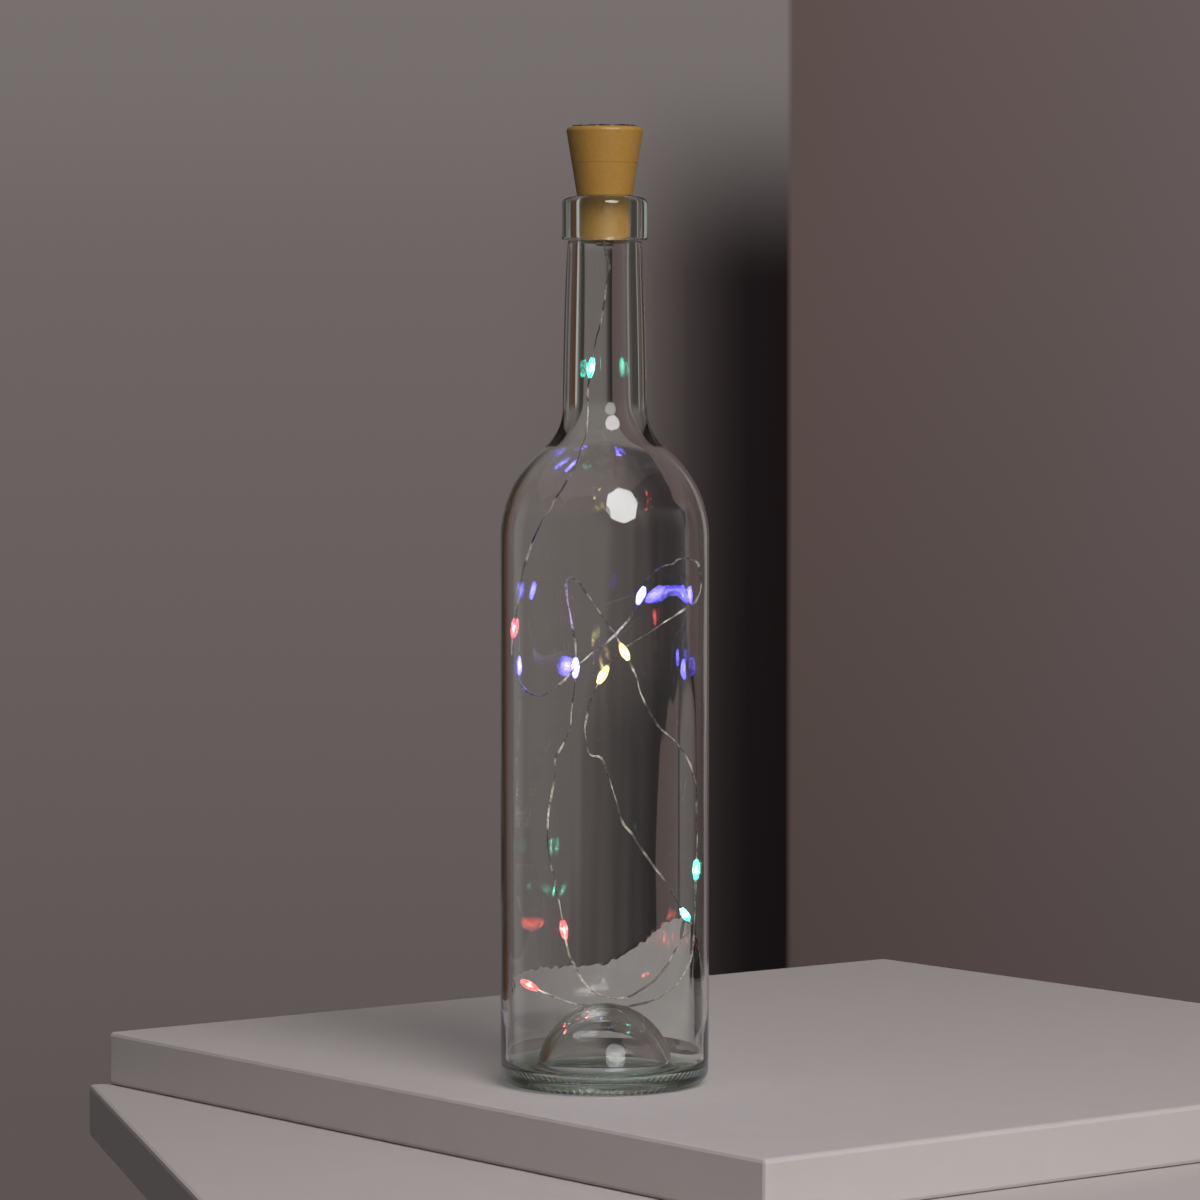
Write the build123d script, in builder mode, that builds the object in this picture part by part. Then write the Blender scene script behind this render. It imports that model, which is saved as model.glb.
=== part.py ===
from build123d import *
import os
from math import cos, hypot, radians, sin, sqrt, tan

# Cork bottle light: a clear wine bottle, a cork-shaped solar stopper in its mouth and a string of lights.
# Millimetres. The bottle stands on z = 0 with its axis on Z, and -Y is the front.

os.makedirs("parts", exist_ok=True)

# Bottle glass
BOTTLE_HEIGHT = 318.8
BODY_DIAMETER = 75.0
BODY_WALL = 2.0
HEEL_RADIUS = 5.5
SHOULDER_DROP = 122.8
SHOULDER_RADIUS = 43.0
SHOULDER_WALL = 2.0
NECK_BLEND_RADIUS = 18.0
INNER_BLEND_RADIUS = 22.0
NECK_BASE_DIAMETER = 30.2
NECK_TOP_DIAMETER = 26.6
NECK_BORE = 20.0
MOUTH_BORE = 18.5
MOUTH_BORE_LENGTH = 25.0
LIP_PROUD = 2.15
LIP_HEIGHT = 15.5
LIP_ROUND = 3.0
LIP_FOOT_ROUND = 0.8
MOUTH_ROUND = 1.5
PUNT_DIAMETER = 45.0
PUNT_LIP = 2.5
PUNT_GLASS = 3.7
DOME_SIDE_GLASS = 2.0
FLOOR_GLASS = 4.0

# Stopper shells
STEM_CLEARANCE = 0.1
STEM_LENGTH = 15.5
STEM_WALL = 1.4
STEM_FLOOR = 1.7
STEM_EDGE = 0.6
HEAD_GAP = 0.1
HEAD_HEIGHT = 24.7
LOWER_HEAD = 11.7
HEAD_STEP = 0.75
HEAD_TOP_DIAMETER = 27.4
HEAD_FOOT_EDGE = 0.3
RIM_ROUND = 1.5
SEAM_CHAMFER = 0.15
SEAM_LAND = 0.99
SPIGOT_HEIGHT = 3.0
SPIGOT_WALL = 1.0
SPIGOT_CLEARANCE = 0.05
SPIGOT_HEADROOM = 0.2
CAP_WALL = 1.5
CAP_PLATE = 1.2
RIB_WIDTH = 1.2
RIB_BITE = 0.65
RIB_GAP = 0.2
HEAD_RIB_BITE = 0.1
CELL_LEDGE = 0.6

# Solar panel
RIM_LAND = 0.2
PANEL_THICKNESS = 0.8
PANEL_SIDE_GAP = 0.2
PANEL_SINK = 0.6
CELL_STRIPS = 4
CELL_GAP = 0.25
CELL_GAP_DEPTH = 0.12
RESIN_EDGE = 0.3
RESIN_CROWN = 0.25

# Board, cell and leads inside the stopper
BOARD_SIDE_GAP = 0.58
BOARD_LIFT = 1.2
BOARD_THICKNESS = 1.0
CHIP_SIZE = (4.0, 3.0, 1.5)
CHIP_PLACE = (-3.6, 2.4)
INDUCTOR_DIAMETER = 5.0
INDUCTOR_HEIGHT = 4.0
INDUCTOR_WAIST = 3.4
INDUCTOR_FLANGE = 0.8
INDUCTOR_PLACE = (2.6, -3.4)
CELL_DIAMETER = 10.0
CELL_LENGTH = 15.4
CELL_NUB_DIAMETER = 3.8
CELL_NUB_HEIGHT = 0.6
CELL_RAISE = 6.0
SLEEVE_THICKNESS = 0.2
SLEEVE_GAP = 0.03
SLEEVE_LIP = 1.2
TAB_WIDTH = 2.4
TAB_THICKNESS = 0.2
TAB_REACH = 6.2
TAB_HEADING = 135
TOP_TAB_REACH = 4.2
LEAD_DIAMETER = 1.0
LEAD_HOLE_GAP = 0.3
PANEL_LEAD_OFFSET = 2.0
PANEL_LEAD_PLACE = (5.6, 2.8)
PANEL_LEAD_RUN = 5.0
SWITCH_LEAD_DIAMETER = 0.8
SWITCH_LEAD_INSET = 0.5
STRING_LEAD_RISE = 3.9
STRING_LEAD_CLIMB = 0.5
STRING_LEAD_BOW = (0.2, -0.1)
STRING_LEAD_SHORT = 0.02

# Slide switch under the stem
SWITCH_HEIGHT = 3.0
SWITCH_SKIN = 0.3
SWITCH_SIDE_GAP = 0.3
KNOB_LENGTH = 1.5
KNOB_WIDTH = 0.9
KNOB_PROUD = 0.5
KNOB_TRAVEL = 2.0
KNOB_CLEARANCE = 0.2
FLANGE_LIP = (0.55, 0.4)
FLANGE_HEIGHT = 0.8
FLANGE_LIFT = 0.3
FLANGE_END_GAP = 0.4
FLANGE_SIDE_GAP = 0.15

# Wire gland
GLAND_DIAMETER = 6.6
GLAND_DROP = 1.9
GLAND_EDGE = 0.5
GLAND_NECK = 4.4
GLAND_FLANGE = 6.0
GLAND_FLANGE_HEIGHT = 0.9

# Light string
WIRE_DIAMETER = 0.9
BORE_CLEARANCE = 0.02
BEAD_LENGTH = 7.0
BEAD_DIAMETER = 2.9
BEAD_TIP_DIAMETER = 1.3
LIGHT_CHIP = (1.6, 0.7, 0.35)
LEAD_IN = 9.0

# Body radius and shoulder height that the route's points below were chosen in
ROUTE_RADIUS = 35.5
ROUTE_SHOULDER = 196.0

# Heights and radii that follow from the sizes above
body_radius = BODY_DIAMETER / 2
inner_radius = body_radius - BODY_WALL
shoulder_start = BOTTLE_HEIGHT - SHOULDER_DROP
lip_foot = BOTTLE_HEIGHT - LIP_HEIGHT
mouth_radius = MOUTH_BORE / 2
punt_radius = PUNT_DIAMETER / 2
punt_top = punt_radius + PUNT_LIP
dome_radius = punt_radius + DOME_SIDE_GLASS
dome_top = punt_top + PUNT_GLASS
dome_centre = dome_top - dome_radius

stem_radius = mouth_radius - STEM_CLEARANCE
head_foot_radius = stem_radius + HEAD_STEP
head_top_radius = HEAD_TOP_DIAMETER / 2
stem_bore = stem_radius - STEM_WALL
stem_foot = BOTTLE_HEIGHT - STEM_LENGTH
stem_floor = stem_foot + STEM_FLOOR
head_foot = BOTTLE_HEIGHT + HEAD_GAP
head_top = head_foot + HEAD_HEIGHT
seam = head_foot + LOWER_HEAD
recess_floor = head_top - PANEL_SINK
plate_under = recess_floor - CAP_PLATE
recess_radius = head_top_radius - RIM_ROUND - RIM_LAND
panel_radius = recess_radius - PANEL_SIDE_GAP

cell_radius = CELL_DIAMETER / 2
sleeve_inner = cell_radius + SLEEVE_GAP
sleeve_outer = sleeve_inner + SLEEVE_THICKNESS
cell_seat = stem_floor + CELL_RAISE
cell_top = cell_seat + CELL_LENGTH
nub_top = cell_top + CELL_NUB_HEIGHT
board_seat = nub_top + TAB_THICKNESS + BOARD_LIFT
board_top = board_seat + BOARD_THICKNESS
rib_inner = sleeve_outer + RIB_GAP
lead_ring = (sleeve_outer + stem_bore) / 2

wire_radius = WIRE_DIAMETER / 2
bore_radius = wire_radius + BORE_CLEARANCE
gland_exit = stem_foot - GLAND_DROP
chip_half = LIGHT_CHIP[0] / 2


def head_radius(z):
    taper_top = head_top - RIM_ROUND
    share = (z - head_foot) / (taper_top - head_foot)
    return head_foot_radius + share * (head_top_radius - head_foot_radius)


spigot_radius = head_radius(seam) - SEAM_CHAMFER - SEAM_LAND
socket_radius = spigot_radius + SPIGOT_CLEARANCE
cavity_radius = spigot_radius - SPIGOT_WALL
cavity_foot = head_foot - STEM_WALL


def cavity_at(z):
    share = (z - cavity_foot) / (seam - cavity_foot)
    return stem_bore + share * (cavity_radius - stem_bore)


board_radius = cavity_at(board_seat) - BOARD_SIDE_GAP


def arc_about(centre, start, end):
    # Circular arc from start to end about a known centre, the short way round
    mid_x = (start[0] + end[0]) / 2 - centre[0]
    mid_y = (start[1] + end[1]) / 2 - centre[1]
    reach = hypot(start[0] - centre[0], start[1] - centre[1]) / hypot(mid_x, mid_y)
    ThreePointArc(start, (centre[0] + mid_x * reach, centre[1] + mid_y * reach), end)


def shoulder_curve(wall, bend, neck, blend):
    # Centres and tangent points of a shoulder arc that flows into a neck
    bend_centre = (wall - bend, shoulder_start)
    across = neck + blend - bend_centre[0]
    rise = sqrt((bend + blend) ** 2 - across**2)
    blend_centre = (neck + blend, shoulder_start + rise)
    share = bend / (bend + blend)
    meet = (bend_centre[0] + share * across, shoulder_start + share * rise)
    return bend_centre, blend_centre, meet


outer_bend, outer_blend, outer_meet = shoulder_curve(
    body_radius, SHOULDER_RADIUS, NECK_BASE_DIAMETER / 2, NECK_BLEND_RADIUS
)
inner_bend, inner_blend, inner_meet = shoulder_curve(
    inner_radius, SHOULDER_RADIUS - SHOULDER_WALL, NECK_BORE / 2, INNER_BLEND_RADIUS
)

# Trough between the punt's dome and the wall: one round that touches both above the floor glass
floor_drop = FLOOR_GLASS - dome_centre
half_sum = inner_radius + dome_radius - floor_drop
trough_radius = half_sum - sqrt(half_sum**2 - inner_radius**2 - floor_drop**2 + dome_radius**2)
trough_centre = (inner_radius - trough_radius, FLOOR_GLASS + trough_radius)
trough_share = dome_radius / (dome_radius + trough_radius)
trough_meet = (
    trough_centre[0] * trough_share,
    dome_centre + (trough_centre[1] - dome_centre) * trough_share,
)

punt_edge = punt_radius + PUNT_LIP
heel_edge = body_radius - HEEL_RADIUS
neck_base = NECK_BASE_DIAMETER / 2
neck_top = NECK_TOP_DIAMETER / 2
neck_bore = NECK_BORE / 2
lip_radius = neck_top + LIP_PROUD
lip_foot_edge = lip_radius - LIP_FOOT_ROUND
lip_wall_foot = lip_foot + LIP_FOOT_ROUND
lip_top_edge = lip_radius - LIP_ROUND
lip_wall_top = BOTTLE_HEIGHT - LIP_ROUND
mouth_edge = mouth_radius + MOUTH_ROUND
mouth_wall_top = BOTTLE_HEIGHT - MOUTH_ROUND
mouth_wall_foot = BOTTLE_HEIGHT - MOUTH_BORE_LENGTH

with BuildPart() as bottle:
    with BuildSketch(Plane.XZ):
        with BuildLine():
            arc_about((0, PUNT_LIP), (0, punt_top), (punt_radius, PUNT_LIP))
            arc_about((punt_edge, PUNT_LIP), (punt_radius, PUNT_LIP), (punt_edge, 0))
            Line((punt_edge, 0), (heel_edge, 0))
            arc_about((heel_edge, HEEL_RADIUS), (heel_edge, 0), (body_radius, HEEL_RADIUS))
            Line((body_radius, HEEL_RADIUS), (body_radius, shoulder_start))
            arc_about(outer_bend, (body_radius, shoulder_start), outer_meet)
            arc_about(outer_blend, outer_meet, (neck_base, outer_blend[1]))
            TangentArc((neck_base, outer_blend[1]), (neck_top, lip_foot), tangent=(0, 1))
            Line((neck_top, lip_foot), (lip_foot_edge, lip_foot))
            arc_about(
                (lip_foot_edge, lip_wall_foot),
                (lip_foot_edge, lip_foot),
                (lip_radius, lip_wall_foot),
            )
            Line((lip_radius, lip_wall_foot), (lip_radius, lip_wall_top))
            arc_about(
                (lip_top_edge, lip_wall_top),
                (lip_radius, lip_wall_top),
                (lip_top_edge, BOTTLE_HEIGHT),
            )
            Line((lip_top_edge, BOTTLE_HEIGHT), (mouth_edge, BOTTLE_HEIGHT))
            arc_about(
                (mouth_edge, mouth_wall_top),
                (mouth_edge, BOTTLE_HEIGHT),
                (mouth_radius, mouth_wall_top),
            )
            Line((mouth_radius, mouth_wall_top), (mouth_radius, mouth_wall_foot))
            Line((mouth_radius, mouth_wall_foot), (neck_bore, inner_blend[1]))
            arc_about(inner_blend, (neck_bore, inner_blend[1]), inner_meet)
            arc_about(inner_bend, inner_meet, (inner_radius, shoulder_start))
            Line((inner_radius, shoulder_start), (inner_radius, trough_centre[1]))
            arc_about(trough_centre, (inner_radius, trough_centre[1]), (trough_centre[0], FLOOR_GLASS))
            arc_about(trough_centre, (trough_centre[0], FLOOR_GLASS), trough_meet)
            arc_about((0, dome_centre), trough_meet, (0, dome_top))
            Line((0, dome_top), (0, punt_top))
        make_face()
    revolve(axis=Axis.Z)
bottle.part.label = "bottle"
export_step(bottle.part, "parts/bottle.step")

# Switch sizes: the housing clears the knob's flange over its travel, and its corners clear the stem's bore
slot_length = KNOB_LENGTH + KNOB_TRAVEL + 2 * KNOB_CLEARANCE
slot_width = KNOB_WIDTH + 2 * KNOB_CLEARANCE
flange_length = KNOB_LENGTH + 2 * FLANGE_LIP[0]
flange_width = KNOB_WIDTH + 2 * FLANGE_LIP[1]
switch_length = flange_length + KNOB_TRAVEL + 2 * FLANGE_END_GAP + 2 * SWITCH_SKIN
switch_width = flange_width + 2 * FLANGE_SIDE_GAP + 2 * SWITCH_SKIN
switch_reach = sqrt((stem_bore - SWITCH_SIDE_GAP) ** 2 - (switch_length / 2) ** 2)
switch_offset = switch_reach - switch_width / 2

# Lower half of the stopper: stem, lower head, spigot, ribs that hold the cell and the board
with BuildPart() as stopper_body:
    with BuildSketch(Plane.XZ):
        with BuildLine():
            Line((GLAND_NECK / 2, stem_foot), (stem_radius - STEM_EDGE, stem_foot))
            arc_about(
                (stem_radius - STEM_EDGE, stem_foot + STEM_EDGE),
                (stem_radius - STEM_EDGE, stem_foot),
                (stem_radius, stem_foot + STEM_EDGE),
            )
            Polyline(
                (stem_radius, stem_foot + STEM_EDGE),
                (stem_radius, head_foot),
                (head_foot_radius - HEAD_FOOT_EDGE, head_foot),
                (head_radius(head_foot + HEAD_FOOT_EDGE), head_foot + HEAD_FOOT_EDGE),
                (head_radius(seam - SEAM_CHAMFER), seam - SEAM_CHAMFER),
                (head_radius(seam) - SEAM_CHAMFER, seam),
                (spigot_radius, seam),
                (spigot_radius, seam + SPIGOT_HEIGHT),
                (cavity_radius, seam + SPIGOT_HEIGHT),
                (cavity_radius, seam),
                (stem_bore, cavity_foot),
                (stem_bore, stem_floor),
                (GLAND_NECK / 2, stem_floor),
                (GLAND_NECK / 2, stem_foot),
            )
        make_face()
    revolve(axis=Axis.Z)
    stem_rib_end = stem_bore + RIB_BITE
    with BuildSketch(Plane.XY.offset(cell_seat)):
        with PolarLocations((rib_inner + stem_rib_end) / 2, 4):
            Rectangle(stem_rib_end - rib_inner, RIB_WIDTH)
    extrude(amount=head_foot + STEM_EDGE - cell_seat)
    head_rib_end = cavity_at(board_seat) + HEAD_RIB_BITE
    with BuildSketch(Plane.XY.offset(head_foot + STEM_EDGE)):
        with PolarLocations((rib_inner + head_rib_end) / 2, 4):
            Rectangle(head_rib_end - rib_inner, RIB_WIDTH)
    extrude(amount=board_seat - head_foot - STEM_EDGE)
    foot_inner = cell_radius - CELL_LEDGE
    with BuildSketch(Plane.XY.offset(stem_floor)):
        foot_middle = (foot_inner + stem_rib_end) / 2
        with PolarLocations(foot_middle, 3, start_angle=180, angular_range=180, endpoint=True):
            Rectangle(stem_rib_end - foot_inner, RIB_WIDTH)
    extrude(amount=cell_seat - stem_floor)
    with BuildSketch(Plane.XY.offset(stem_foot)):
        with Locations((0, switch_offset)):
            Rectangle(slot_length, slot_width)
    extrude(amount=STEM_FLOOR, mode=Mode.SUBTRACT)
stopper_body.part.label = "stopper_body"
export_step(stopper_body.part, "parts/stopper_body.step")

# Upper half of the head with the recess for the panel and two holes for its leads
with BuildPart() as head_cap:
    with BuildSketch(Plane.XZ):
        with BuildLine():
            Polyline(
                (socket_radius, seam),
                (head_radius(seam) - SEAM_CHAMFER, seam),
                (head_radius(seam + SEAM_CHAMFER), seam + SEAM_CHAMFER),
                (head_top_radius, head_top - RIM_ROUND),
            )
            arc_about(
                (head_top_radius - RIM_ROUND, head_top - RIM_ROUND),
                (head_top_radius, head_top - RIM_ROUND),
                (head_top_radius - RIM_ROUND, head_top),
            )
            Polyline(
                (head_top_radius - RIM_ROUND, head_top),
                (recess_radius, head_top),
                (recess_radius, recess_floor),
                (0, recess_floor),
                (0, plate_under),
                (head_radius(plate_under) - CAP_WALL, plate_under),
                (socket_radius, seam + SPIGOT_HEIGHT + SPIGOT_HEADROOM),
                (socket_radius, seam),
            )
        make_face()
    revolve(axis=Axis.Z)
    with BuildSketch(Plane.XY.offset(plate_under)):
        with Locations((-PANEL_LEAD_OFFSET, 0), (PANEL_LEAD_OFFSET, 0)):
            Circle(LEAD_DIAMETER / 2 + LEAD_HOLE_GAP)
    extrude(amount=CAP_PLATE, mode=Mode.SUBTRACT)
head_cap.part.label = "head_cap"
export_step(head_cap.part, "parts/head_cap.step")

# Dark panel with fine gaps between its strips, and the clear resin over it
panel_top = recess_floor + PANEL_THICKNESS
strip_pitch = 2 * panel_radius / CELL_STRIPS
with BuildPart() as solar_panel:
    with BuildSketch(Plane.XY.offset(recess_floor)):
        Circle(panel_radius)
    extrude(amount=PANEL_THICKNESS)
    with BuildSketch(Plane.XY.offset(panel_top)):
        with GridLocations(strip_pitch, 0, CELL_STRIPS - 1, 1):
            Rectangle(CELL_GAP, 2 * panel_radius)
    extrude(amount=-CELL_GAP_DEPTH, mode=Mode.SUBTRACT)
solar_panel.part.label = "solar_panel"
export_step(solar_panel.part, "parts/solar_panel.step")

resin_edge = panel_top + RESIN_EDGE
resin_crown = resin_edge + RESIN_CROWN
with BuildPart() as panel_resin:
    with BuildSketch(Plane.XZ):
        with BuildLine():
            Polyline(
                (0, resin_crown),
                (0, panel_top),
                (panel_radius, panel_top),
                (panel_radius, resin_edge),
            )
            TangentArc((0, resin_crown), (panel_radius, resin_edge), tangent=(1, 0))
        make_face()
    revolve(axis=Axis.Z)
panel_resin.part.label = "panel_resin"
export_step(panel_resin.part, "parts/panel_resin.step")

# Round board on the ribs, with its chip and inductor
with BuildPart() as circuit_board:
    with BuildSketch(Plane.XY.offset(board_seat)):
        Circle(board_radius)
    extrude(amount=BOARD_THICKNESS)
circuit_board.part.label = "circuit_board"
export_step(circuit_board.part, "parts/circuit_board.step")

with BuildPart() as driver_chip:
    with BuildSketch(Plane.XY.offset(board_top)):
        with Locations(CHIP_PLACE):
            Rectangle(CHIP_SIZE[0], CHIP_SIZE[1])
    extrude(amount=CHIP_SIZE[2])
driver_chip.part.label = "driver_chip"
export_step(driver_chip.part, "parts/driver_chip.step")

with BuildPart() as inductor:
    with BuildSketch(Plane.XY.offset(board_top)):
        with Locations(INDUCTOR_PLACE):
            Circle(INDUCTOR_WAIST / 2)
    extrude(amount=INDUCTOR_HEIGHT)
    for flange_foot in (board_top, board_top + INDUCTOR_HEIGHT - INDUCTOR_FLANGE):
        with BuildSketch(Plane.XY.offset(flange_foot)):
            with Locations(INDUCTOR_PLACE):
                Circle(INDUCTOR_DIAMETER / 2)
        extrude(amount=INDUCTOR_FLANGE)
inductor.part.label = "inductor"
export_step(inductor.part, "parts/inductor.step")

# Rechargeable cell on the feet of the ribs, in its sleeve, with a contact strip at each end
with BuildPart() as battery_cell:
    with BuildSketch(Plane.XY.offset(cell_seat)):
        Circle(cell_radius)
    extrude(amount=CELL_LENGTH)
    with BuildSketch(Plane.XY.offset(cell_top)):
        Circle(CELL_NUB_DIAMETER / 2)
    extrude(amount=CELL_NUB_HEIGHT)
battery_cell.part.label = "battery_cell"
export_step(battery_cell.part, "parts/battery_cell.step")

with BuildPart() as battery_sleeve:
    with BuildSketch(Plane.XY.offset(cell_seat)):
        Circle(sleeve_outer)
        Circle(sleeve_inner, mode=Mode.SUBTRACT)
    extrude(amount=CELL_LENGTH)
    with BuildSketch(Plane.XY.offset(cell_top)):
        Circle(sleeve_outer)
        Circle(sleeve_inner - SLEEVE_LIP, mode=Mode.SUBTRACT)
    extrude(amount=SLEEVE_THICKNESS)
battery_sleeve.part.label = "battery_sleeve"
export_step(battery_sleeve.part, "parts/battery_sleeve.step")

with BuildPart() as battery_tab_top:
    with BuildSketch(Plane.XY.offset(nub_top)):
        with Locations(((TOP_TAB_REACH - TAB_WIDTH / 2) / 2, 0)):
            Rectangle(TOP_TAB_REACH + TAB_WIDTH / 2, TAB_WIDTH)
    extrude(amount=TAB_THICKNESS)
    with BuildSketch(Plane.XY.offset(nub_top)):
        with Locations((TOP_TAB_REACH - TAB_THICKNESS / 2, 0)):
            Rectangle(TAB_THICKNESS, TAB_WIDTH)
    extrude(amount=board_seat - nub_top)
battery_tab_top.part.label = "battery_tab_top"
export_step(battery_tab_top.part, "parts/battery_tab_top.step")

tab_heading = radians(TAB_HEADING)
tab_plane = Plane(
    origin=(0, 0, cell_seat - TAB_THICKNESS), x_dir=(cos(tab_heading), sin(tab_heading), 0), z_dir=(0, 0, 1)
)
with BuildPart() as battery_tab_bottom:
    with BuildSketch(tab_plane):
        with Locations(((TAB_REACH - TAB_WIDTH / 2) / 2, 0)):
            Rectangle(TAB_REACH + TAB_WIDTH / 2, TAB_WIDTH)
    extrude(amount=TAB_THICKNESS)
    with BuildSketch(tab_plane):
        with Locations((TAB_REACH - TAB_THICKNESS / 2, 0)):
            Rectangle(TAB_THICKNESS, TAB_WIDTH)
    extrude(amount=board_seat - cell_seat + TAB_THICKNESS)
battery_tab_bottom.part.label = "battery_tab_bottom"
export_step(battery_tab_bottom.part, "parts/battery_tab_bottom.step")

# Slide switch: a thin housing on the stem's floor and a flanged knob that reaches out through the slot
with BuildPart() as switch_housing:
    with BuildSketch(Plane.XY.offset(stem_floor)):
        with Locations((0, switch_offset)):
            Rectangle(switch_length, switch_width)
    extrude(amount=SWITCH_HEIGHT)
    with BuildSketch(Plane.XY.offset(stem_floor + SWITCH_SKIN)):
        with Locations((0, switch_offset)):
            Rectangle(switch_length - 2 * SWITCH_SKIN, switch_width - 2 * SWITCH_SKIN)
    extrude(amount=SWITCH_HEIGHT - 2 * SWITCH_SKIN, mode=Mode.SUBTRACT)
    with BuildSketch(Plane.XY.offset(stem_floor)):
        with Locations((0, switch_offset)):
            Rectangle(slot_length, slot_width)
    extrude(amount=SWITCH_SKIN, mode=Mode.SUBTRACT)
switch_housing.part.label = "switch_housing"
export_step(switch_housing.part, "parts/switch_housing.step")

knob_rest = -KNOB_TRAVEL / 2
knob_flange_foot = stem_floor + SWITCH_SKIN + FLANGE_LIFT
with BuildPart() as switch_knob:
    with BuildSketch(Plane.XY.offset(stem_foot - KNOB_PROUD)):
        with Locations((knob_rest, switch_offset)):
            Rectangle(KNOB_LENGTH, KNOB_WIDTH)
    extrude(amount=knob_flange_foot - stem_foot + KNOB_PROUD)
    with BuildSketch(Plane.XY.offset(knob_flange_foot)):
        with Locations((knob_rest, switch_offset)):
            Rectangle(flange_length, flange_width)
    extrude(amount=FLANGE_HEIGHT)
switch_knob.part.label = "switch_knob"
export_step(switch_knob.part, "parts/switch_knob.step")

# Gland: a grommet through the stem's floor with the wire's bore along its middle
with BuildPart() as wire_gland:
    with BuildSketch(Plane.XZ):
        with BuildLine():
            Polyline(
                (bore_radius, gland_exit),
                (GLAND_DIAMETER / 2 - GLAND_EDGE, gland_exit),
                (GLAND_DIAMETER / 2, gland_exit + GLAND_EDGE),
                (GLAND_DIAMETER / 2, stem_foot),
                (GLAND_NECK / 2, stem_foot),
                (GLAND_NECK / 2, stem_floor),
                (GLAND_FLANGE / 2, stem_floor),
                (GLAND_FLANGE / 2, stem_floor + GLAND_FLANGE_HEIGHT),
                (bore_radius, stem_floor + GLAND_FLANGE_HEIGHT),
                (bore_radius, gland_exit),
            )
        make_face()
    revolve(axis=Axis.Z)
wire_gland.part.label = "wire_gland"
export_step(wire_gland.part, "parts/wire_gland.step")


def bend_radii(points):
    # The widest round that each corner takes when it uses 0.45 of its shorter run
    vectors = [Vector(*point) for point in points]
    radii = []
    for before, corner, after in zip(vectors, vectors[1:], vectors[2:]):
        run_in = corner - before
        run_out = after - corner
        half_turn = radians(run_in.get_angle(run_out)) / 2
        radii.append(0.45 * min(run_in.length, run_out.length) / tan(half_turn))
    return radii


def tube_path(points):
    FilletPolyline(*points, radius=bend_radii(points))


# Leads inside the stopper
panel_lead_points = [
    (PANEL_LEAD_OFFSET, 0.0, recess_floor),
    (PANEL_LEAD_OFFSET, 0.0, recess_floor - PANEL_LEAD_RUN),
    (*PANEL_LEAD_PLACE, board_top + PANEL_LEAD_RUN),
    (*PANEL_LEAD_PLACE, board_top),
]
with BuildPart() as panel_leads:
    for side in (1, -1):
        lead_points = [(side * x, side * y, z) for x, y, z in panel_lead_points]
        with BuildLine() as lead_line:
            tube_path(lead_points)
        with BuildSketch(Plane(origin=lead_line.line @ 0, z_dir=lead_line.line % 0)):
            Circle(LEAD_DIAMETER / 2)
        sweep()
panel_leads.part.label = "panel_leads"
export_step(panel_leads.part, "parts/panel_leads.step")

switch_lead_x = switch_length / 2 - SWITCH_LEAD_INSET
switch_lead_y = sqrt(lead_ring**2 - switch_lead_x**2)
with BuildPart() as switch_leads:
    with BuildSketch(Plane.XY.offset(stem_floor + SWITCH_HEIGHT)):
        with Locations((-switch_lead_x, switch_lead_y), (switch_lead_x, switch_lead_y)):
            Circle(SWITCH_LEAD_DIAMETER / 2)
    extrude(amount=board_seat - stem_floor - SWITCH_HEIGHT)
switch_leads.part.label = "switch_leads"
export_step(switch_leads.part, "parts/switch_leads.step")

lead_side = lead_ring * sqrt(0.5)
string_lead_turn = stem_floor + STRING_LEAD_RISE
string_lead_side = string_lead_turn + STRING_LEAD_CLIMB
string_lead_points = [
    (0.0, 0.0, gland_exit),
    (0.0, 0.0, string_lead_turn),
    (lead_side, -lead_side, string_lead_side),
    (lead_side + STRING_LEAD_BOW[0], STRING_LEAD_BOW[1] - lead_side, (string_lead_side + board_seat) / 2),
    (lead_side, -lead_side, board_seat - STRING_LEAD_SHORT),
]
with BuildPart() as string_lead:
    with BuildLine() as string_lead_line:
        tube_path(string_lead_points)
    with BuildSketch(Plane(origin=string_lead_line.line @ 0, z_dir=string_lead_line.line % 0)):
        Circle(wire_radius)
    sweep()
string_lead.part.label = "string_lead"
export_step(string_lead.part, "parts/string_lead.step")

# Lights from the gland down: colour, middle of the drop, and the way that the wire runs through it
LIGHTS = [
    ("green", (-5.3, 5.3, 257.7), (-0.18, 0.00, -0.98)),
    ("red", (-32.8, 2.0, 163.9), (-0.16, 0.11, -0.98)),
    ("blue", (13.5, 27.3, 174.7), (0.33, -0.40, 0.86)),
    ("yellow", (-0.6, -21.0, 148.7), (-0.47, -0.24, -0.85)),
    ("green", (29.0, 0.0, 60.9), (0.38, 0.66, -0.64)),
    ("red", (-14.9, 24.0, 52.9), (-0.17, 0.31, 0.94)),
    ("blue", (-10.8, 29.5, 148.3), (0.04, 0.06, 1.00)),
    ("yellow", (6.8, -25.0, 157.1), (0.38, -0.55, -0.74)),
    ("green", (33.4, 3.0, 76.8), (-0.03, 0.06, -1.00)),
    ("red", (-27.7, 7.5, 34.3), (-0.89, 0.00, 0.45)),
]

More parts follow.
